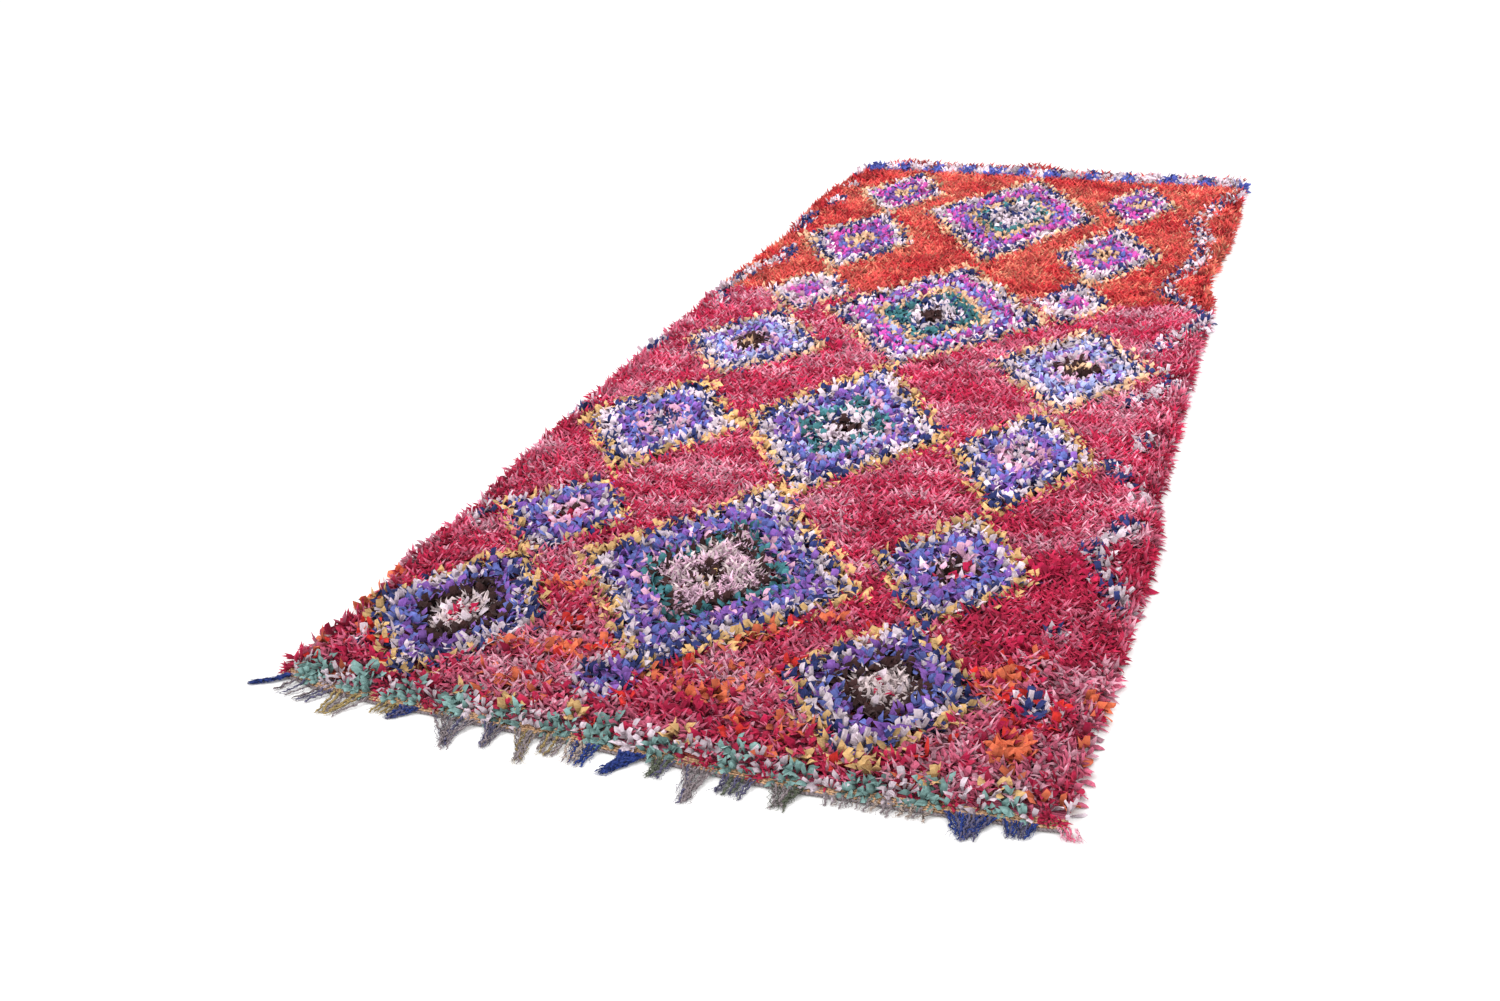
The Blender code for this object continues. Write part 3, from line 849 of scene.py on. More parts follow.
class Template:
    """The lofted strands of one knot, gathered as points and faces."""

    def __init__(self):
        self.points = []
        self.faces = []
        self.cells = []
        self.reach = []
        self.tone = []

    def add_strand(self, rings, reaches, tone):
        """Lofts one closed strand through its rings. The first may be a point; each goes anticlockwise."""
        sides = max(len(ring) for ring in rings)
        starts = []
        for ring, reach in zip(rings, reaches):
            starts.append(len(self.points))
            self.points += ring
            self.reach += [reach] * len(ring)
            self.tone += [tone] * len(ring)
        last = len(rings) - 1
        for level in range(last):
            low, high = starts[level], starts[level + 1]
            v0, v1 = 0.86 * level / last, 0.86 * (level + 1) / last
            for side in range(sides):
                after = (side + 1) % sides
                u0, u1 = side / sides, (side + 1) / sides
                if len(rings[level]) == 1:
                    self.faces.append((low, high + after, high + side))
                    self.cells += [((u0 + u1) / 2, v0), (u1, v1), (u0, v1)]
                elif len(rings[level + 1]) == 1:
                    self.faces.append((low + side, low + after, high))
                    self.cells += [(u0, v0), (u1, v0), ((u0 + u1) / 2, v1)]
                else:
                    self.faces.append((low + side, low + after, high + after, high + side))
                    self.cells += [(u0, v0), (u1, v0), (u1, v1), (u0, v1)]
        corners = ((0, 0.92), (1, 0.92), (1, 1), (0, 1)) if sides == 4 else ((0, 0.92), (1, 0.92), (0.5, 1))
        if len(rings[last]) > 1:
            self.faces.append(tuple(starts[last] + side for side in range(sides)))
            self.cells += corners

    def add_blade(self, corners, reaches, tone):
        """One closed four-cornered blade: root, two edges and tip."""
        first = len(self.points)
        middle = sum(corners, Vector()) / 4
        for a, b, c in ((0, 1, 2), (1, 3, 2), (0, 3, 1), (0, 2, 3)):
            across = (corners[b] - corners[a]).cross(corners[c] - corners[a])
            if across.dot(corners[a] - middle) < 0:
                b, c = c, b
            self.faces.append((first + a, first + b, first + c))
            row = 0.25 * ((len(self.faces) - 1) % 4)
            self.cells += [(0.0, row), (1.0, row), (0.5, row + 0.2)]
        self.points += corners
        self.reach += reaches
        self.tone += [tone] * 4

    def to_object(self, name):
        mesh = bpy.data.meshes.new(name)
        mesh.from_pydata(self.points, [], self.faces)
        mesh.attributes.new("reach", "FLOAT", "POINT").data.foreach_set("value", self.reach)
        mesh.attributes.new("tone", "FLOAT", "POINT").data.foreach_set("value", self.tone)
        flat = [value for cell in self.cells for value in (*cell, 0.0)]
        mesh.attributes.new("cell", "FLOAT_VECTOR", "CORNER").data.foreach_set("vector", flat)
        return bpy.data.objects.new(name, mesh)


def spine(length, lean, curl, stations):
    """Points and directions along a strand that rises, leaning towards -Y, and bends over near its tip."""
    places = []
    place = Vector((0, 0, 0))
    before = 0.0
    for share in stations:
        middle = lean + curl * ((share + before) / 2) ** 2
        place = place + Vector((0, -math.sin(middle), math.cos(middle))) * length * (share - before)
        angle = lean + curl * share ** 2
        places.append((place.copy(), Vector((0, -math.sin(angle), math.cos(angle)))))
        before = share
    return places


def folded_ring(place, along, spin, half, fold, thickness, ridge, slant):
    """The four corners of a folded strip's section: its two edges, and both faces of the fold."""
    side = Vector((math.cos(spin), math.sin(spin), 0))
    side = (side - along * side.dot(along)).normalized()
    up = along.cross(side)
    crest = place + side * ridge * half + up * fold * half
    return [
        place + side * half + along * slant,
        crest + up * thickness / 2,
        place - side * half - along * slant,
        crest - up * thickness / 2,
    ]


def turned(points, angle, foot):
    spin = Matrix.Rotation(angle, 3, "Z")
    return [spin @ point + foot for point in points]


def angle_between(chance, least, most):
    """A random angle between two that are given in degrees."""
    return math.radians(chance.uniform(least, most))


def foot_of_strand(chance, width, share):
    """Where a strand leaves its knot: up to a share of a width away from the middle."""
    return Vector((chance.uniform(-1, 1), chance.uniform(-1, 1), 0)) * width * share


def tie_rag(chance, sizes):
    """Lobes of a torn rag, the first the widest, each folded along its length and lying over like a scale."""
    template = Template()
    for number, share in enumerate(RAG_LOBES):
        half = sizes.rag_width * share * chance.uniform(0.85, 1.15) / 2
        length = sizes.pile_length * chance.uniform(0.80, 1.02)
        stations = (0.0, 0.60, 1.0)
        path = spine(length, angle_between(chance, 12, 44), angle_between(chance, 30, 80), stations)
        spin = angle_between(chance, -25, 25)
        twist = angle_between(chance, -35, 35)
        fold = chance.choice((-1, 1)) * chance.uniform(0.10, 0.50)
        ridge = chance.uniform(-0.5, 0.5)
        slant = sizes.rag_width * chance.uniform(-0.35, 0.35)
        turn = 2 * math.pi * number / len(RAG_LOBES) + angle_between(chance, -50, 50)
        foot = foot_of_strand(chance, sizes.rag_width, 0.20)
        rings = [turned([path[0][0]], turn, foot)]
        for station, (place, along), swell in zip(stations[1:], path[1:], (1.0, chance.uniform(0.50, 1.00))):
            ring = folded_ring(place, along, spin + twist * station, half * swell,
                               fold * chance.uniform(0.5, 1.4), sizes.rag_thickness, ridge,
                               slant if station == 1.0 else 0)
            rings.append(turned(ring, turn, foot))
        template.add_strand(rings, stations, chance.uniform(0, 1))
    return template


def tie_strip(chance, sizes):
    """Rolled ends of white cotton."""
    template = Template()
    for number in range(STRIP_ENDS):
        half = sizes.strip_width * chance.uniform(0.80, 1.25) / 2
        length = sizes.pile_length * chance.uniform(0.78, 1.10)
        stations = (0.0, 0.62, 1.0)
        path = spine(length, angle_between(chance, 18, 55), angle_between(chance, 15, 70), stations)
        turn = 2 * math.pi * number / STRIP_ENDS + angle_between(chance, -45, 45)
        foot = foot_of_strand(chance, sizes.rag_width, 0.28)
        rings = [turned([path[0][0]], turn, foot)]
        for place, along in path[1:]:
            edge, crest, far, _ = folded_ring(place, along, chance.uniform(-0.6, 0.6), half,
                                              chance.uniform(0.6, 1.2), 0, chance.uniform(-0.3, 0.3), 0)
            rings.append(turned([edge, crest, far], turn, foot))
        template.add_strand(rings, stations, chance.uniform(0, 1))
    return template


def tie_yarn(chance, sizes):
    """Short ends of brushed yarn that lie to the left and right, each widest where it bends over."""
    template = Template()
    for number in range(YARN_ENDS):
        half = sizes.yarn_width * chance.uniform(0.7, 1.3) / 2
        length = sizes.pile_length * chance.uniform(0.80, 1.12)
        stations = (0.0, 0.58, 1.0)
        path = spine(length, angle_between(chance, 14, 52), angle_between(chance, 35, 80), stations)
        turn = math.pi * (number % 2) + math.pi / 2 + angle_between(chance, -65, 65)
        foot = foot_of_strand(chance, sizes.knot_pitch, 0.45)
        place, along = path[1]
        edge, _, far, _ = folded_ring(place, along, angle_between(chance, -50, 50), half, 0, 0, 0,
                                      chance.uniform(-0.5, 0.5) * half)
        corners = turned([path[0][0], edge, far, path[2][0]], turn, foot)
        template.add_blade(corners, [0.0, 0.7, 0.7, 1.0], chance.uniform(0, 1))
    return template


def tie_templates(sizes):
    """One shape of knot after another, in a collection that the knots are picked from by number."""
    chance = random.Random(sizes.seed)
    shelf = bpy.data.collections.new("knot_shapes")
    makers = [tie_rag] * RAG_SHAPES + [tie_strip] * STRIP_SHAPES + [tie_yarn] * YARN_SHAPES
    for number, maker in enumerate(makers):
        shelf.objects.link(maker(chance, sizes).to_object(f"knot_{number:02d}"))
    return shelf


def new_tree(name, inputs):
    """A geometry tree with named inputs: the tree, its input node, and its output node."""
    tree = bpy.data.node_groups.new(name, "GeometryNodeTree")
    tree.interface.new_socket(name="Geometry", in_out="INPUT", socket_type="NodeSocketGeometry")
    for socket, kind in inputs:
        tree.interface.new_socket(name=socket, in_out="INPUT", socket_type=kind)
    tree.interface.new_socket(name="Geometry", in_out="OUTPUT", socket_type="NodeSocketGeometry")
    return tree, tree.nodes.new("NodeGroupInput"), tree.nodes.new("NodeGroupOutput")


def settled(tree, geometry, height):
    """Lays what would hang below the given height softly down on the floor."""
    here = add_node(tree, "GeometryNodeInputPosition")
    place = add_node(tree, "ShaderNodeSeparateXYZ", {0: here})
    rise = place.outputs["Z"]
    capped = add_node(tree, "ShaderNodeMath", {0: rise, 1: height}, operation="MINIMUM")
    under = add_node(tree, "ShaderNodeMath", {0: capped, 1: height}, operation="SUBTRACT")
    share = add_node(tree, "ShaderNodeMath", {0: under, 1: height}, operation="DIVIDE")
    softened = add_node(tree, "ShaderNodeMath", {0: share}, operation="EXPONENT")
    low = add_node(tree, "ShaderNodeMath", {0: softened, 1: height}, operation="MULTIPLY")
    over = add_node(tree, "ShaderNodeMath", {0: rise, 1: height}, operation="SUBTRACT")
    high = add_node(tree, "ShaderNodeMath", {0: over, 1: 0.0}, operation="MAXIMUM")
    level = add_node(tree, "ShaderNodeMath", {0: low, 1: high}, operation="ADD")
    position = add_node(tree, "ShaderNodeCombineXYZ", {
        "X": place.outputs["X"], "Y": place.outputs["Y"], "Z": level})
    return add_node(tree, "GeometryNodeSetPosition", {"Geometry": geometry, "Position": position})


def own_cells(tree, geometry):
    """Gives each strand its own square of the bake map, in rows."""
    island = add_node(tree, "GeometryNodeInputMeshIsland")
    index = island.outputs["Island Index"]
    root = add_node(tree, "ShaderNodeMath", {0: island.outputs["Island Count"]}, operation="SQRT")
    cells = add_node(tree, "ShaderNodeMath", {0: root}, operation="CEIL")
    middle = add_node(tree, "ShaderNodeMath", {0: index, 1: 0.5}, operation="ADD")
    rows_before = add_node(tree, "ShaderNodeMath", {0: middle, 1: cells}, operation="DIVIDE")
    row = add_node(tree, "ShaderNodeMath", {0: rows_before}, operation="FLOOR")
    first = add_node(tree, "ShaderNodeMath", {0: row, 1: cells}, operation="MULTIPLY")
    place = add_node(tree, "ShaderNodeMath", {0: index, 1: first}, operation="SUBTRACT")
    corner = add_node(tree, "ShaderNodeCombineXYZ", {"X": place, "Y": row})
    cell = add_node(tree, "GeometryNodeInputNamedAttribute", {"Name": "cell"}, data_type="FLOAT_VECTOR")
    inset = add_node(tree, "ShaderNodeVectorMath", {
        0: cell, 1: (0.80, 0.80, 0), 2: (0.10, 0.10, 0)}, operation="MULTIPLY_ADD")
    moved = add_node(tree, "ShaderNodeVectorMath", {0: inset, 1: corner}, operation="ADD")
    share = add_node(tree, "ShaderNodeMath", {0: 1.0, 1: cells}, operation="DIVIDE")
    shrunk = add_node(tree, "ShaderNodeVectorMath", {0: moved, "Scale": share}, operation="SCALE")
    stored = add_node(tree, "GeometryNodeStoreNamedAttribute", {
        "Geometry": geometry, "Name": "OFBake", "Value": shrunk}, data_type="FLOAT2", domain="CORNER")
    return add_node(tree, "GeometryNodeRemoveAttribute", {"Geometry": stored, "Name": "cell"})


def knots_tree():
    """Ties a knot on each point: picks its shape, leans and turns it, and lets it settle on the floor."""
    tree, given, out = new_tree("Tie knots on points", (
        ("Shapes", "NodeSocketCollection"),
        ("Knot size", "NodeSocketFloat"),
        ("Lean spread", "NodeSocketFloat"),
        ("Turn spread", "NodeSocketFloat"),
        ("Soft height", "NodeSocketFloat"),
        ("Seed", "NodeSocketInt"),
        ("Finish", "NodeSocketMaterial"),
    ))
    shelf = add_node(tree, "GeometryNodeCollectionInfo", {
        "Collection": given.outputs["Shapes"], "Separate Children": True, "Reset Children": True})
    read = {
        name: add_node(tree, "GeometryNodeInputNamedAttribute", {"Name": name}, data_type=kind)
        for name, kind in (("shape", "INT"), ("lean", "FLOAT"), ("turn", "FLOAT"), ("size", "FLOAT"),
                           ("free", "FLOAT"))
    }
    angle = {}
    for number, name in enumerate(("lean", "turn")):
        seed = add_node(tree, "ShaderNodeMath", {0: given.outputs["Seed"], 1: number}, operation="ADD")
        chance = add_node(tree, "FunctionNodeRandomValue", {2: -1.0, 3: 1.0, "Seed": seed}, data_type="FLOAT")
        spread = given.outputs[name.capitalize() + " spread"]
        swing = add_node(tree, "ShaderNodeMath", {0: chance.outputs[1], 1: spread}, operation="MULTIPLY")
        freed = add_node(tree, "ShaderNodeMath", {0: swing, 1: read["free"]}, operation="MULTIPLY")
        angle[name] = add_node(tree, "ShaderNodeMath", {0: read[name], 1: freed}, operation="ADD")
    angles = add_node(tree, "ShaderNodeCombineXYZ", {"X": angle["lean"], "Z": angle["turn"]})
    rotation = add_node(tree, "FunctionNodeEulerToRotation", {0: angles})
    scale = add_node(tree, "ShaderNodeMath", {
        0: read["size"], 1: given.outputs["Knot size"]}, operation="MULTIPLY")
    tied = add_node(tree, "GeometryNodeInstanceOnPoints", {
        "Points": given.outputs["Geometry"], "Instance": shelf, "Pick Instance": True,
        "Instance Index": read["shape"], "Rotation": rotation, "Scale": scale})
    real = add_node(tree, "GeometryNodeRealizeInstances", {"Geometry": tied})
    laid = settled(tree, real, given.outputs["Soft height"])
    finish = add_node(tree, "GeometryNodeSetMaterial", {
        "Geometry": own_cells(tree, laid), "Material": given.outputs["Finish"]})
    tree.links.new(finish.outputs[0], out.inputs[0])
    return tree


def cords_tree():
    """Twists a two-ply cord along each line of points."""
    tree, given, out = new_tree("Twist cords on lines", (
        ("Cord radius", "NodeSocketFloat"),
        ("Ply depth", "NodeSocketFloat"),
        ("Turns per metre", "NodeSocketFloat"),
        ("Sides", "NodeSocketInt"),
        ("Finish", "NodeSocketMaterial"),
    ))
    lines = add_node(tree, "GeometryNodeMeshToCurve", {"Mesh": given.outputs["Geometry"]})
    along = add_node(tree, "GeometryNodeSplineParameter").outputs["Length"]
    turns = add_node(tree, "ShaderNodeMath", {
        0: along, 1: given.outputs["Turns per metre"]}, operation="MULTIPLY")
    twist = add_node(tree, "ShaderNodeMath", {0: turns, 1: 2 * math.pi}, operation="MULTIPLY")
    tilted = add_node(tree, "GeometryNodeSetCurveTilt", {"Curve": lines, "Tilt": twist})
    circle = add_node(tree, "GeometryNodeCurvePrimitiveCircle", {
        "Resolution": given.outputs["Sides"], "Radius": 1.0})
    around = add_node(tree, "GeometryNodeSplineParameter").outputs["Factor"]
    plies = add_node(tree, "ShaderNodeMath", {0: around, 1: 4 * math.pi}, operation="MULTIPLY")
    lobe = add_node(tree, "ShaderNodeMath", {0: plies}, operation="COSINE")
    depth = add_node(tree, "ShaderNodeMath", {0: lobe, 1: given.outputs["Ply depth"]}, operation="MULTIPLY")
    swell = add_node(tree, "ShaderNodeMath", {0: depth, 1: 1.0}, operation="ADD")
    here = add_node(tree, "GeometryNodeInputPosition")
    flat = add_node(tree, "ShaderNodeVectorMath", {0: here, "Scale": swell}, operation="SCALE")
    profile = add_node(tree, "GeometryNodeSetPosition", {"Geometry": circle, "Position": flat})
    thickness = add_node(tree, "GeometryNodeInputNamedAttribute", {"Name": "thickness"}, data_type="FLOAT")
    scale = add_node(tree, "ShaderNodeMath", {
        0: thickness, 1: given.outputs["Cord radius"]}, operation="MULTIPLY")
    cord = add_node(tree, "GeometryNodeCurveToMesh", {
        "Curve": tilted, "Profile Curve": profile, "Scale": scale, "Fill Caps": True})
    smooth = add_node(tree, "GeometryNodeSetShadeSmooth", {0: cord, "Shade Smooth": True})
    laid = settled(tree, smooth, CORD_SOFT_HEIGHT)
    real = add_node(tree, "GeometryNodeRealizeInstances", {"Geometry": laid})
    finish = add_node(tree, "GeometryNodeSetMaterial", {
        "Geometry": real, "Material": given.outputs["Finish"]})
    tree.links.new(finish.outputs[0], out.inputs[0])
    return tree


def run_tree(piece, tree, values):
    """Runs a tree on a piece, and keeps its result as a plain mesh."""
    modifier = piece.modifiers.new(tree.name, "NODES")
    modifier.node_group = tree
    for item in tree.interface.items_tree:
        if item.item_type == "SOCKET" and item.in_out == "INPUT" and item.name in values:
            modifier[item.identifier] = values[item.name]
    graph = bpy.context.evaluated_depsgraph_get()
    mesh = bpy.data.meshes.new_from_object(
        piece.evaluated_get(graph), preserve_all_data_layers=True, depsgraph=graph)
    stale = piece.data
    piece.modifiers.clear()
    piece.data = mesh
    bpy.data.meshes.remove(stale)
    mesh.name = piece.name
    return piece


def add_piece(name, mesh):
    piece = bpy.data.objects.new(name, mesh)
    bpy.context.scene.collection.objects.link(piece)
    return piece


def store(mesh, name, kind, values):
    """A named attribute on the points of a mesh."""
    field = "color" if kind == "FLOAT_COLOR" else "value"
    mesh.attributes.new(name, kind, "POINT").data.foreach_set(field, np.asarray(values).ravel())


def dye_colour(dyes, name):
    return (*getattr(dyes, name), 1.0)


def lay_out_knots(sizes):
    """Where each knot is tied: arrays by name."""
    draw = np.random.default_rng(sizes.seed)
    columns = round(WIDTH / sizes.knot_pitch)
    rows = round((LENGTH - BAND_WIDTH - FAR_BAND_WIDTH) / sizes.row_pitch)
    row, place = (axis.ravel() for axis in np.mgrid[0:rows, 0:columns])
    stagger = STAGGER * (row % 2 * 2 - 1)
    count = len(row)
    share_across = np.clip((place + 0.5 + stagger + draw.uniform(-0.2, 0.2, count)) / columns, 0.004, 0.996)
    share_along = np.clip((row + 0.5 + draw.uniform(-0.22, 0.22, count)) / rows, 0.001, 0.999)
    across, along = in_pile(share_across, share_along, BAND_SHOWING)
    return {"across": across, "along": along, "chance": draw.uniform(0, 1, count), "draw": draw}


def stand_knots(knots, sizes):
    """How each knot leans and turns. Those at the rim lean out over the floor."""
    across, along, draw = knots["across"], knots["along"], knots["draw"]
    count = len(across)
    gaps = np.stack([
        across - left_edge(along),
        right_edge(along) - across,
        along - near_edge(across) - BAND_SHOWING,
        far_edge(across) - FAR_BAND_WIDTH - along,
    ])
    outward = np.radians([-90, 90, 0, 180])
    nearest = gaps.argmin(0)
    rim = np.clip(1 - gaps.min(0) / EDGE_REACH, 0, 1)
    leaning_end = np.where(nearest == 2, NEAR_RIM_LEAN, 1.0)
    swell = soft_noise(across, along, SWELL_LENGTH, SWELL_LENGTH, 0.6)
    lump = soft_noise(across, along, LUMP_LENGTH, LUMP_LENGTH, 0.0)
    turn = (outward[nearest] + draw.uniform(-RIM_SWING, RIM_SWING, count)) * rim
    turned_out = outward[nearest] + draw.uniform(-RIM_SWING, RIM_SWING, count)
    knots["turn"] = np.where(rim > RIM_FROM, turned_out, turn)
    knots["lean"] = sizes.lean * (1 - rim) + RIM_LEAN * leaning_end * rim
    knots["free"] = np.where(rim > RIM_FROM, RIM_FREE, 1.0)
    near_rim = np.where(nearest == 2, rim, 0)
    knots["size"] = (1 + LUMP_DEPTH * lump + SWELL_DEPTH * swell) * (1 - NEAR_RIM_SMALLER * near_rim)
    patchy = soft_noise(across, along, *PATCHY_SIZE, 21.0)
    clumps = soft_noise(across, along, *CLUMP_SIZE, 17.0)
    # painted shade: the knots' dye is darker towards the near end, and full further along
    worn = NEAR_SHADE + (1 - NEAR_SHADE) * np.clip(along / UNSHADED_FROM, 0, 1)
    bright = 1.0 + (PATCHY + PATCHY_FARTHER * along) * (patchy + draw.uniform(-0.5, 0.5, count))
    bright = bright + (CLUMPED + CLUMPED_FARTHER * along / LENGTH) * clumps
    knots["shade"] = worn * np.clip(bright, *SHADES)


def choose_shapes(knots, chosen):
    """The number of each knot's shape, by the cut of its dye."""
    draw = knots["draw"]
    cuts = np.array([DYES[name].cut for name in DYE_NAMES])[chosen]
    count = len(chosen)
    rolled = (cuts == "both") & (draw.uniform(0, 1, count) < ROLLED_SHARE)
    shapes = draw.integers(0, RAG_SHAPES, count)
    shapes = np.where(rolled, RAG_SHAPES + draw.integers(0, STRIP_SHAPES, count), shapes)
    first_yarn = RAG_SHAPES + STRIP_SHAPES
    ragged = draw.uniform(0, 1, count) < RAGGED_SHARE * (1 - knots["along"] / RAGGED_TO)
    ragged &= cuts == "yarn"
    knots["size"] *= np.where(ragged, RAGGED_SIZE, 1)
    return np.where((cuts == "yarn") & ~ragged, first_yarn + draw.integers(0, YARN_SHAPES, count), shapes)


def tie_piece(name, where, knots, chosen, shapes, tree, values, dyes):
    """One joined piece of pile: every knot of its dyes."""
    mesh = bpy.data.meshes.new(name + "_points")
    across, along = knots["across"][where], knots["along"][where]
    places = np.column_stack([across - ORIGIN_ACROSS, along - ORIGIN_ALONG, np.full(len(across), GROUND_TOP)])
    mesh.vertices.add(len(across))
    mesh.vertices.foreach_set("co", places.ravel())
    names = [DYE_NAMES[number] for number in chosen[where]]
    # each knot's dye times its brightness: its own random tone, and the painted shade of the near end
    shade = np.column_stack([knots["shade"][where]] * 3 + [np.ones(len(across))])
    store(mesh, "tint", "FLOAT_COLOR", np.array([dye_colour(dyes, dye) for dye in names]) * shade)
    flecks = [FLECKS.get(dye, dye) for dye in names]
    store(mesh, "fleck", "FLOAT_COLOR", np.array([dye_colour(dyes, dye) for dye in flecks]) * shade)
    store(mesh, "shape", "INT", shapes[where])
    for key in ("lean", "turn", "size", "free"):
        store(mesh, key, "FLOAT", knots[key][where])
    piece = run_tree(add_piece(name, mesh), tree, values)
    for key in ("shape", "lean", "turn", "size", "free"):
        if key in piece.data.attributes:
            piece.data.attributes.remove(piece.data.attributes[key])
    return piece


class RUG_OT_weave_ground(bpy.types.Operator):
    """Weave the ground that the knots are tied to"""

    bl_idname = "rug.weave_ground"
    bl_label = "Weave the ground"

    def execute(self, context):
        sheet = bmesh.new()
        across_cells, along_cells = GROUND_CELLS
        bmesh.ops.create_grid(sheet, x_segments=across_cells, y_segments=along_cells, size=0.5)
        for vert in sheet.verts:
            across, along = in_pile(vert.co.x + 0.5, vert.co.y + 0.5)
            middle = WIDTH / 2
            across += -GROUND_INSET * (across - middle) / middle
            vert.co = on_floor(across, along, GROUND_TOP)
        top = sheet.faces[:]
        grown = bmesh.ops.extrude_face_region(sheet, geom=top, use_keep_orig=True)
        for part in grown["geom"]:
            if isinstance(part, bmesh.types.BMVert):
                part.co.z = GROUND_FOOT
        bmesh.ops.recalc_face_normals(sheet, faces=sheet.faces)
        mesh = bpy.data.meshes.new("ground_cloth")
        sheet.to_mesh(mesh)
        sheet.free()
        places = np.zeros(len(mesh.vertices) * 3, np.float32)
        mesh.vertices.foreach_get("co", places)
        places = places.reshape(-1, 3)
        across, along = places[:, 0] + ORIGIN_ACROSS, places[:, 1] + ORIGIN_ALONG
        chosen = np.zeros(len(across), int)
        chart_ground(chosen, across, along, np.full(len(across), 0.5))
        dyes = context.scene.rug_dyes
        store(mesh, "tint", "FLOAT_COLOR", [dye_colour(dyes, DYE_NAMES[number]) for number in chosen])
        mesh.materials.append(ground_finish())
        cloth = add_piece("ground_cloth", mesh)
        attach(cloth, BODY)
        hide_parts("pile")
        return {"FINISHED"}


class RUG_OT_tie_pile(bpy.types.Operator):
    """Tie the knots of rag and yarn, dye by dye"""

    bl_idname = "rug.tie_pile"
    bl_label = "Tie the pile"

    def execute(self, context):
        sizes, dyes = context.scene.rug_sizes, context.scene.rug_dyes
        knots = lay_out_knots(sizes)
        chosen = chart_dyes(knots["across"], knots["along"], knots["chance"])
        stand_knots(knots, sizes)
        shapes = choose_shapes(knots, chosen)
        tree = knots_tree()
        shelf = tie_templates(sizes)
        finishes = {"yarn": yarn_finish(), "rag": cotton_rag_finish()}
        joined = np.array([DYES[name].piece for name in DYE_NAMES])[chosen]
        for number, name in enumerate(sorted(set(joined))):
            values = {
                "Shapes": shelf,
                "Knot size": 1.0,
                "Lean spread": sizes.lean_spread,
                "Turn spread": sizes.turn_spread if "yarn" not in name else YARN_TURN * sizes.turn_spread,
                "Soft height": SOFT_HEIGHT,
                "Seed": sizes.seed + 10 * number,
                "Finish": finishes["yarn" if "yarn" in name else "rag"],
            }
            piece = tie_piece(name, joined == name, knots, chosen, shapes, tree, values, dyes)
            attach(piece, BODY)
        for shape in list(shelf.objects):
            mesh = shape.data
            bpy.data.objects.remove(shape)
            bpy.data.meshes.remove(mesh)
        bpy.data.collections.remove(shelf)
        return {"FINISHED"}


class Lines:
    """Lines of points that cords are twisted on, with each point's dye and thickness."""

    def __init__(self):
        self.points = []
        self.edges = []
        self.tint = []
        self.fleck = []
        self.thickness = []
        self.reach = []
        self.tone = []

    def add(self, points, tint, fleck, thickness, tone):
        first = len(self.points)
        self.points += points
        self.edges += [(first + i, first + i + 1) for i in range(len(points) - 1)]
        self.tint += [tint] * len(points)
        self.fleck += [fleck] * len(points)
        self.thickness += thickness
        self.reach += [1.0] * len(points)
        self.tone += [tone] * len(points)

    def to_piece(self, name, values):
        mesh = bpy.data.meshes.new(name + "_lines")
        mesh.from_pydata(self.points, self.edges, [])
        store(mesh, "tint", "FLOAT_COLOR", self.tint)
        store(mesh, "fleck", "FLOAT_COLOR", self.fleck)
        store(mesh, "thickness", "FLOAT", self.thickness)
        store(mesh, "reach", "FLOAT", self.reach)
        store(mesh, "tone", "FLOAT", self.tone)
        return run_tree(add_piece(name, mesh), cords_tree(), values)


def weft_lines(lines, edge, outward, cords, spacing, dyes, chance):
    """Cords of cotton weft that run across the rug, side by side from its end inwards."""
    end = 0.0 if outward < 0 else LENGTH
    steps = np.linspace(left_edge(end), right_edge(end), WEFT_STEPS)
    for number in range(cords):
        wobble = chance.uniform(0, 50)
        points = []
        for across in steps:
            sway = WEFT_SWAY * noise.noise(Vector((across / 0.03, wobble, 0)))
            inward = spacing * (number + 0.5) + sway
            height = WEFT_HEIGHT + WEFT_HUMP * noise.noise(Vector((across / 0.02, wobble, 4)))
            points.append(on_floor(across, edge(across) - outward * inward, height))
        thickness = [1 + 0.15 * noise.noise(Vector((across / 0.012, wobble, 9))) for across in steps]
        tint, fleck = dye_colour(dyes, "tan"), dye_colour(dyes, "taupe")
        lines.add(points, tint, fleck, thickness, chance.uniform(0.3, 0.8))


def weft_values(sizes):
    """What the wefts of a band are twisted with."""
    return {
        "Cord radius": sizes.weft_thickness / 2,
        "Ply depth": 0.16,
        "Turns per metre": 55.0,
        "Sides": 6,
        "Finish": cord_finish(),
    }


def fringe_strand(clump, share, chance, sizes, spread=0.0):
    """One warp end: out of the band, down to the floor, and drawn towards the tip of its clump."""
    root = clump.start + share * (clump.end - clump.start)
    middle = (clump.start + clump.end) / 2
    reach = clump.reach * chance.uniform(0.72, 1.06)
    side = chance.uniform(-spread, spread)
    phase = chance.uniform(0, 40)
    crinkle = sizes.warp_thickness * chance.uniform(0.2, 0.6)
    steps = max(10, round(reach / WARP_STEP))
    shares = [step / steps for step in range(steps + 1)]
    points = []
    for s in shares:
        drawn = clump.gather * (1 - (1 - s) ** 1.6)
        wave = 2 * math.pi * reach * s / CRINKLE_LENGTH + phase
        wander = WARP_WANDER * reach * s * noise.noise(Vector((s * 2.6, phase, 0)))
        bunch = WARP_BUNCH * reach * s * noise.noise(Vector((s * 3.0, phase, 2)))
        across = root + (middle - root) * drawn - clump.sway * s ** 1.4 + side * s
        across += wander + crinkle * math.sin(wave)
        along = near_edge(root) + 0.006 - reach * s + bunch
        along += 0.6 * crinkle * math.cos(1.3 * wave)
        lift = 0.5 + 1.3 * abs(noise.noise(Vector((s * 5, phase, 5))))
        points.append(on_floor(across, along, 0.006 * (1 - s) ** 2 + sizes.warp_thickness * lift))
    return points, shares


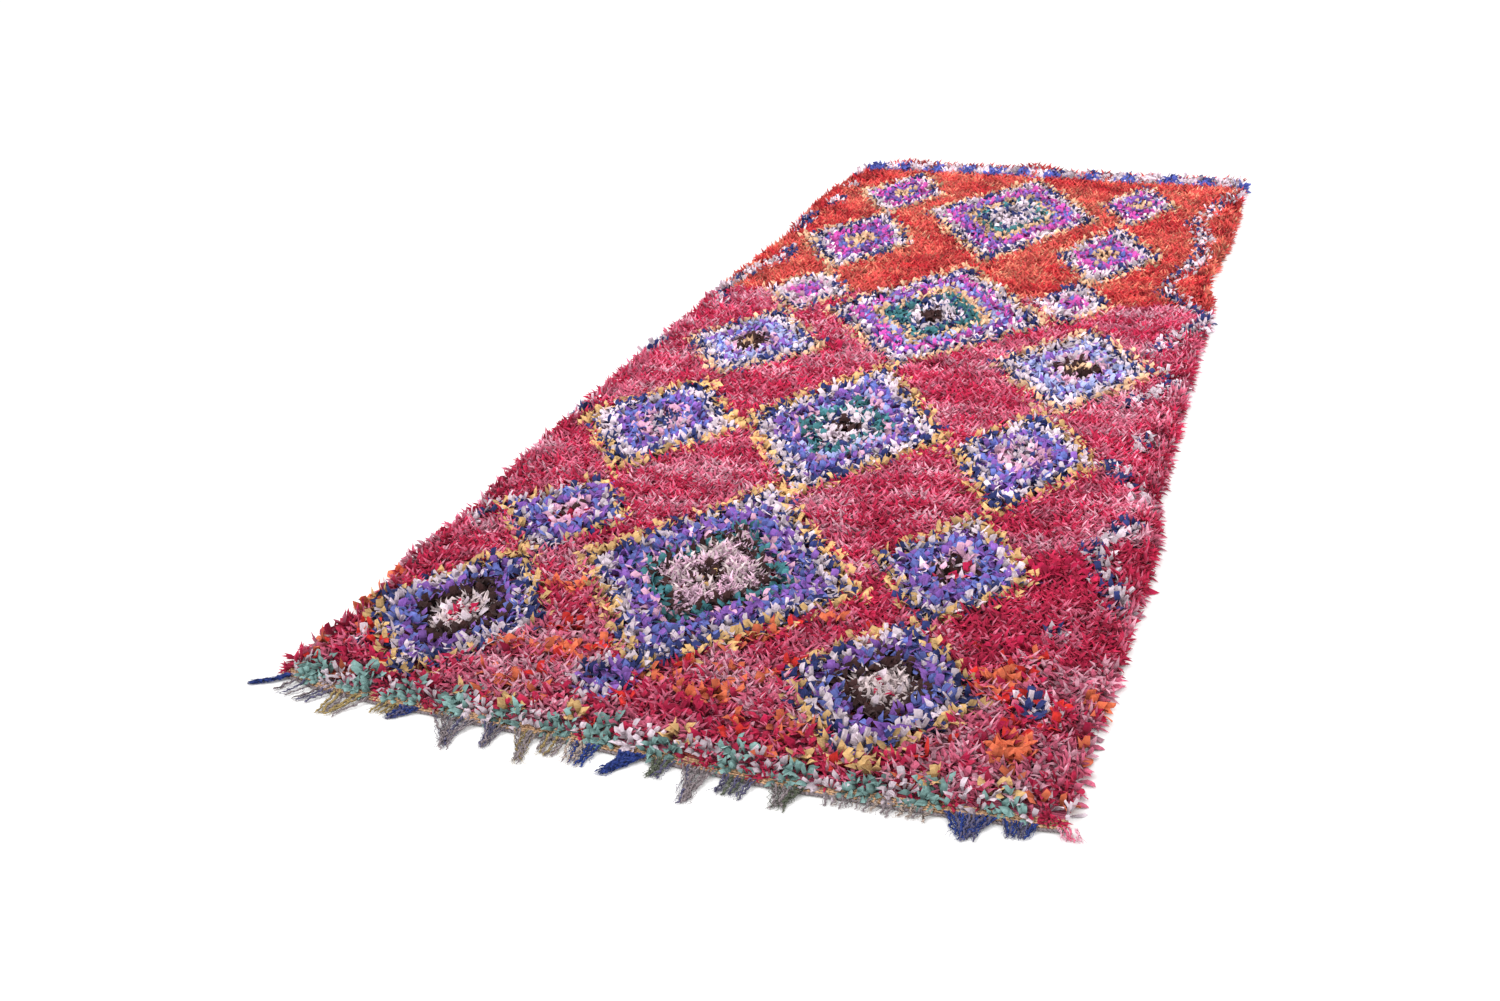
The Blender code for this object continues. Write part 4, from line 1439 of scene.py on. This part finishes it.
class RUG_OT_weave_near_band(bpy.types.Operator):
    """Weave the tan cotton band at the near end"""

    bl_idname = "rug.weave_near_band"
    bl_label = "Weave the near band"

    def execute(self, context):
        sizes, dyes = context.scene.rug_sizes, context.scene.rug_dyes
        lines = Lines()
        chance = random.Random(sizes.seed + 1)
        weft_lines(lines, near_edge, -1, NEAR_WEFTS, BAND_WIDTH / NEAR_WEFTS, dyes, chance)
        band = lines.to_piece("near_end_band_weave", weft_values(sizes))
        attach(band, BODY)
        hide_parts("near_end_band")
        return {"FINISHED"}


class RUG_OT_twist_near_fringe(bpy.types.Operator):
    """Twist and knot the warp ends of the near end"""

    bl_idname = "rug.twist_near_fringe"
    bl_label = "Twist the near fringe"

    def execute(self, context):
        sizes, dyes = context.scene.rug_sizes, context.scene.rug_dyes
        chance = random.Random(sizes.seed + 2)
        lines = Lines()
        for clump in (*NEAR_FRINGE, CORNER_TAIL):
            fleck = dye_colour(dyes, clump.other)
            for number in range(clump.cords):
                share = (number + chance.uniform(0.2, 0.8)) / clump.cords
                tint = dye_colour(dyes, clump.other if chance.random() < 0.35 else clump.dye)
                points, shares = fringe_strand(clump, share, chance, sizes)
                stout = chance.uniform(0.65, 1.15)
                thickness = [stout * (1.0 - 3.5 * max(0.0, s - TAPER_FROM)) for s in shares]
                lines.add(points, tint, fleck, thickness, chance.random())
                for _ in range(HAIRS):
                    points, shares = fringe_strand(clump, share, chance, sizes, HAIR_SPREAD)
                    thickness = [HAIR_THICKNESS * (1 - 0.6 * s) for s in shares]
                    lines.add(points, tint, fleck, thickness, chance.random())
        fringe = lines.to_piece("near_fringe", {
            "Cord radius": sizes.warp_thickness / 2, "Ply depth": 0.30, "Turns per metre": 90.0, "Sides": 4,
            "Finish": cord_finish()})
        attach(fringe, BODY)
        return {"FINISHED"}


class RUG_OT_weave_far_band(bpy.types.Operator):
    """Weave the narrow far band, with the few warp ends that are left on it"""

    bl_idname = "rug.weave_far_band"
    bl_label = "Weave the far band"

    def execute(self, context):
        sizes, dyes = context.scene.rug_sizes, context.scene.rug_dyes
        chance = random.Random(sizes.seed + 3)
        lines = Lines()
        weft_lines(lines, far_edge, 1, FAR_WEFTS, FAR_BAND_WIDTH / FAR_WEFTS, dyes, chance)
        tint, fleck = dye_colour(dyes, "slate"), dye_colour(dyes, "taupe")
        for middle in FAR_WISPS:
            for number in range(WISP_CORDS):
                root = middle + WISP_SPACING * number
                reach = chance.uniform(0.014, 0.030)
                sway = chance.uniform(-0.004, 0.012)
                points = [
                    on_floor(root + sway * s, far_edge(root) - 0.003 + reach * s, 0.002 + 0.004 * (1 - s))
                    for s in WISP_SHARES
                ]
                lines.add(points, tint, fleck, list(WISP_THICKNESS), chance.random())
        band = lines.to_piece("far_end_band_weave", weft_values(sizes))
        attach(band, BODY)
        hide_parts("far_end_band")
        return {"FINISHED"}


class RUG_OT_set_stage(bpy.types.Operator):
    """Set the floor, the lights and the camera"""

    bl_idname = "rug.set_stage"
    bl_label = "Set the stage"

    def execute(self, context):
        scene = context.scene
        plane = bmesh.new()
        bmesh.ops.create_grid(plane, x_segments=1, y_segments=1, size=FLOOR_REACH)
        mesh = bpy.data.meshes.new("floor")
        plane.to_mesh(mesh)
        plane.free()
        mesh.materials.append(floor_finish())
        add_piece("floor", mesh)
        world = bpy.data.worlds.new("studio")
        world.use_nodes = True
        background = world.node_tree.nodes["Background"]
        background.inputs["Color"].default_value = SKY
        background.inputs["Strength"].default_value = SKY_STRENGTH
        scene.world = world
        for row in SOFTBOXES:
            lamp = bpy.data.lights.new(row.name, "AREA")
            lamp.size = row.size
            lamp.energy = row.power
            softbox = add_piece(row.name, lamp)
            softbox.location = row.place
            softbox.rotation_euler = (-Vector(row.place)).to_track_quat("-Z", "Y").to_euler()
        camera = add_piece("camera", bpy.data.cameras.new("camera"))
        camera.data.lens = CAMERA_LENS
        camera.data.sensor_width = CAMERA_SENSOR
        camera.data.clip_end = 200
        camera.matrix_world = Matrix.Translation(CAMERA_PLACE) @ Matrix(CAMERA_AXES).to_4x4()
        scene.camera = camera
        scene.view_settings.view_transform = "Standard"
        return {"FINISHED"}


class RUG_PT_panel(bpy.types.Panel):
    """Lists the steps of making the rug"""

    bl_label = "Boucherouite rug"
    bl_idname = "RUG_PT_panel"
    bl_space_type = "VIEW_3D"
    bl_region_type = "UI"
    bl_category = "Rug"

    def draw(self, context):
        layout = self.layout
        for name in RugSizes.__annotations__:
            layout.prop(context.scene.rug_sizes, name)
        for name in DYE_NAMES:
            layout.prop(context.scene.rug_dyes, name)
        for step in STEPS:
            layout.operator(step.bl_idname)


STEPS = (
    RUG_OT_weave_ground,
    RUG_OT_tie_pile,
    RUG_OT_weave_near_band,
    RUG_OT_twist_near_fringe,
    RUG_OT_weave_far_band,
    RUG_OT_set_stage,
)
CLASSES = (RugSizes, RugDyes, *STEPS, RUG_PT_panel)


def register():
    for item in CLASSES:
        bpy.utils.register_class(item)
    bpy.types.Scene.rug_sizes = bpy.props.PointerProperty(type=RugSizes)
    bpy.types.Scene.rug_dyes = bpy.props.PointerProperty(type=RugDyes)


def unregister():
    del bpy.types.Scene.rug_dyes
    del bpy.types.Scene.rug_sizes
    for item in reversed(CLASSES):
        bpy.utils.unregister_class(item)


def main():
    register()
    bpy.ops.rug.weave_ground()
    bpy.ops.rug.tie_pile()
    bpy.ops.rug.weave_near_band()
    bpy.ops.rug.twist_near_fringe()
    bpy.ops.rug.weave_far_band()
    bpy.ops.rug.set_stage()


if __name__ == "__main__":
    main()
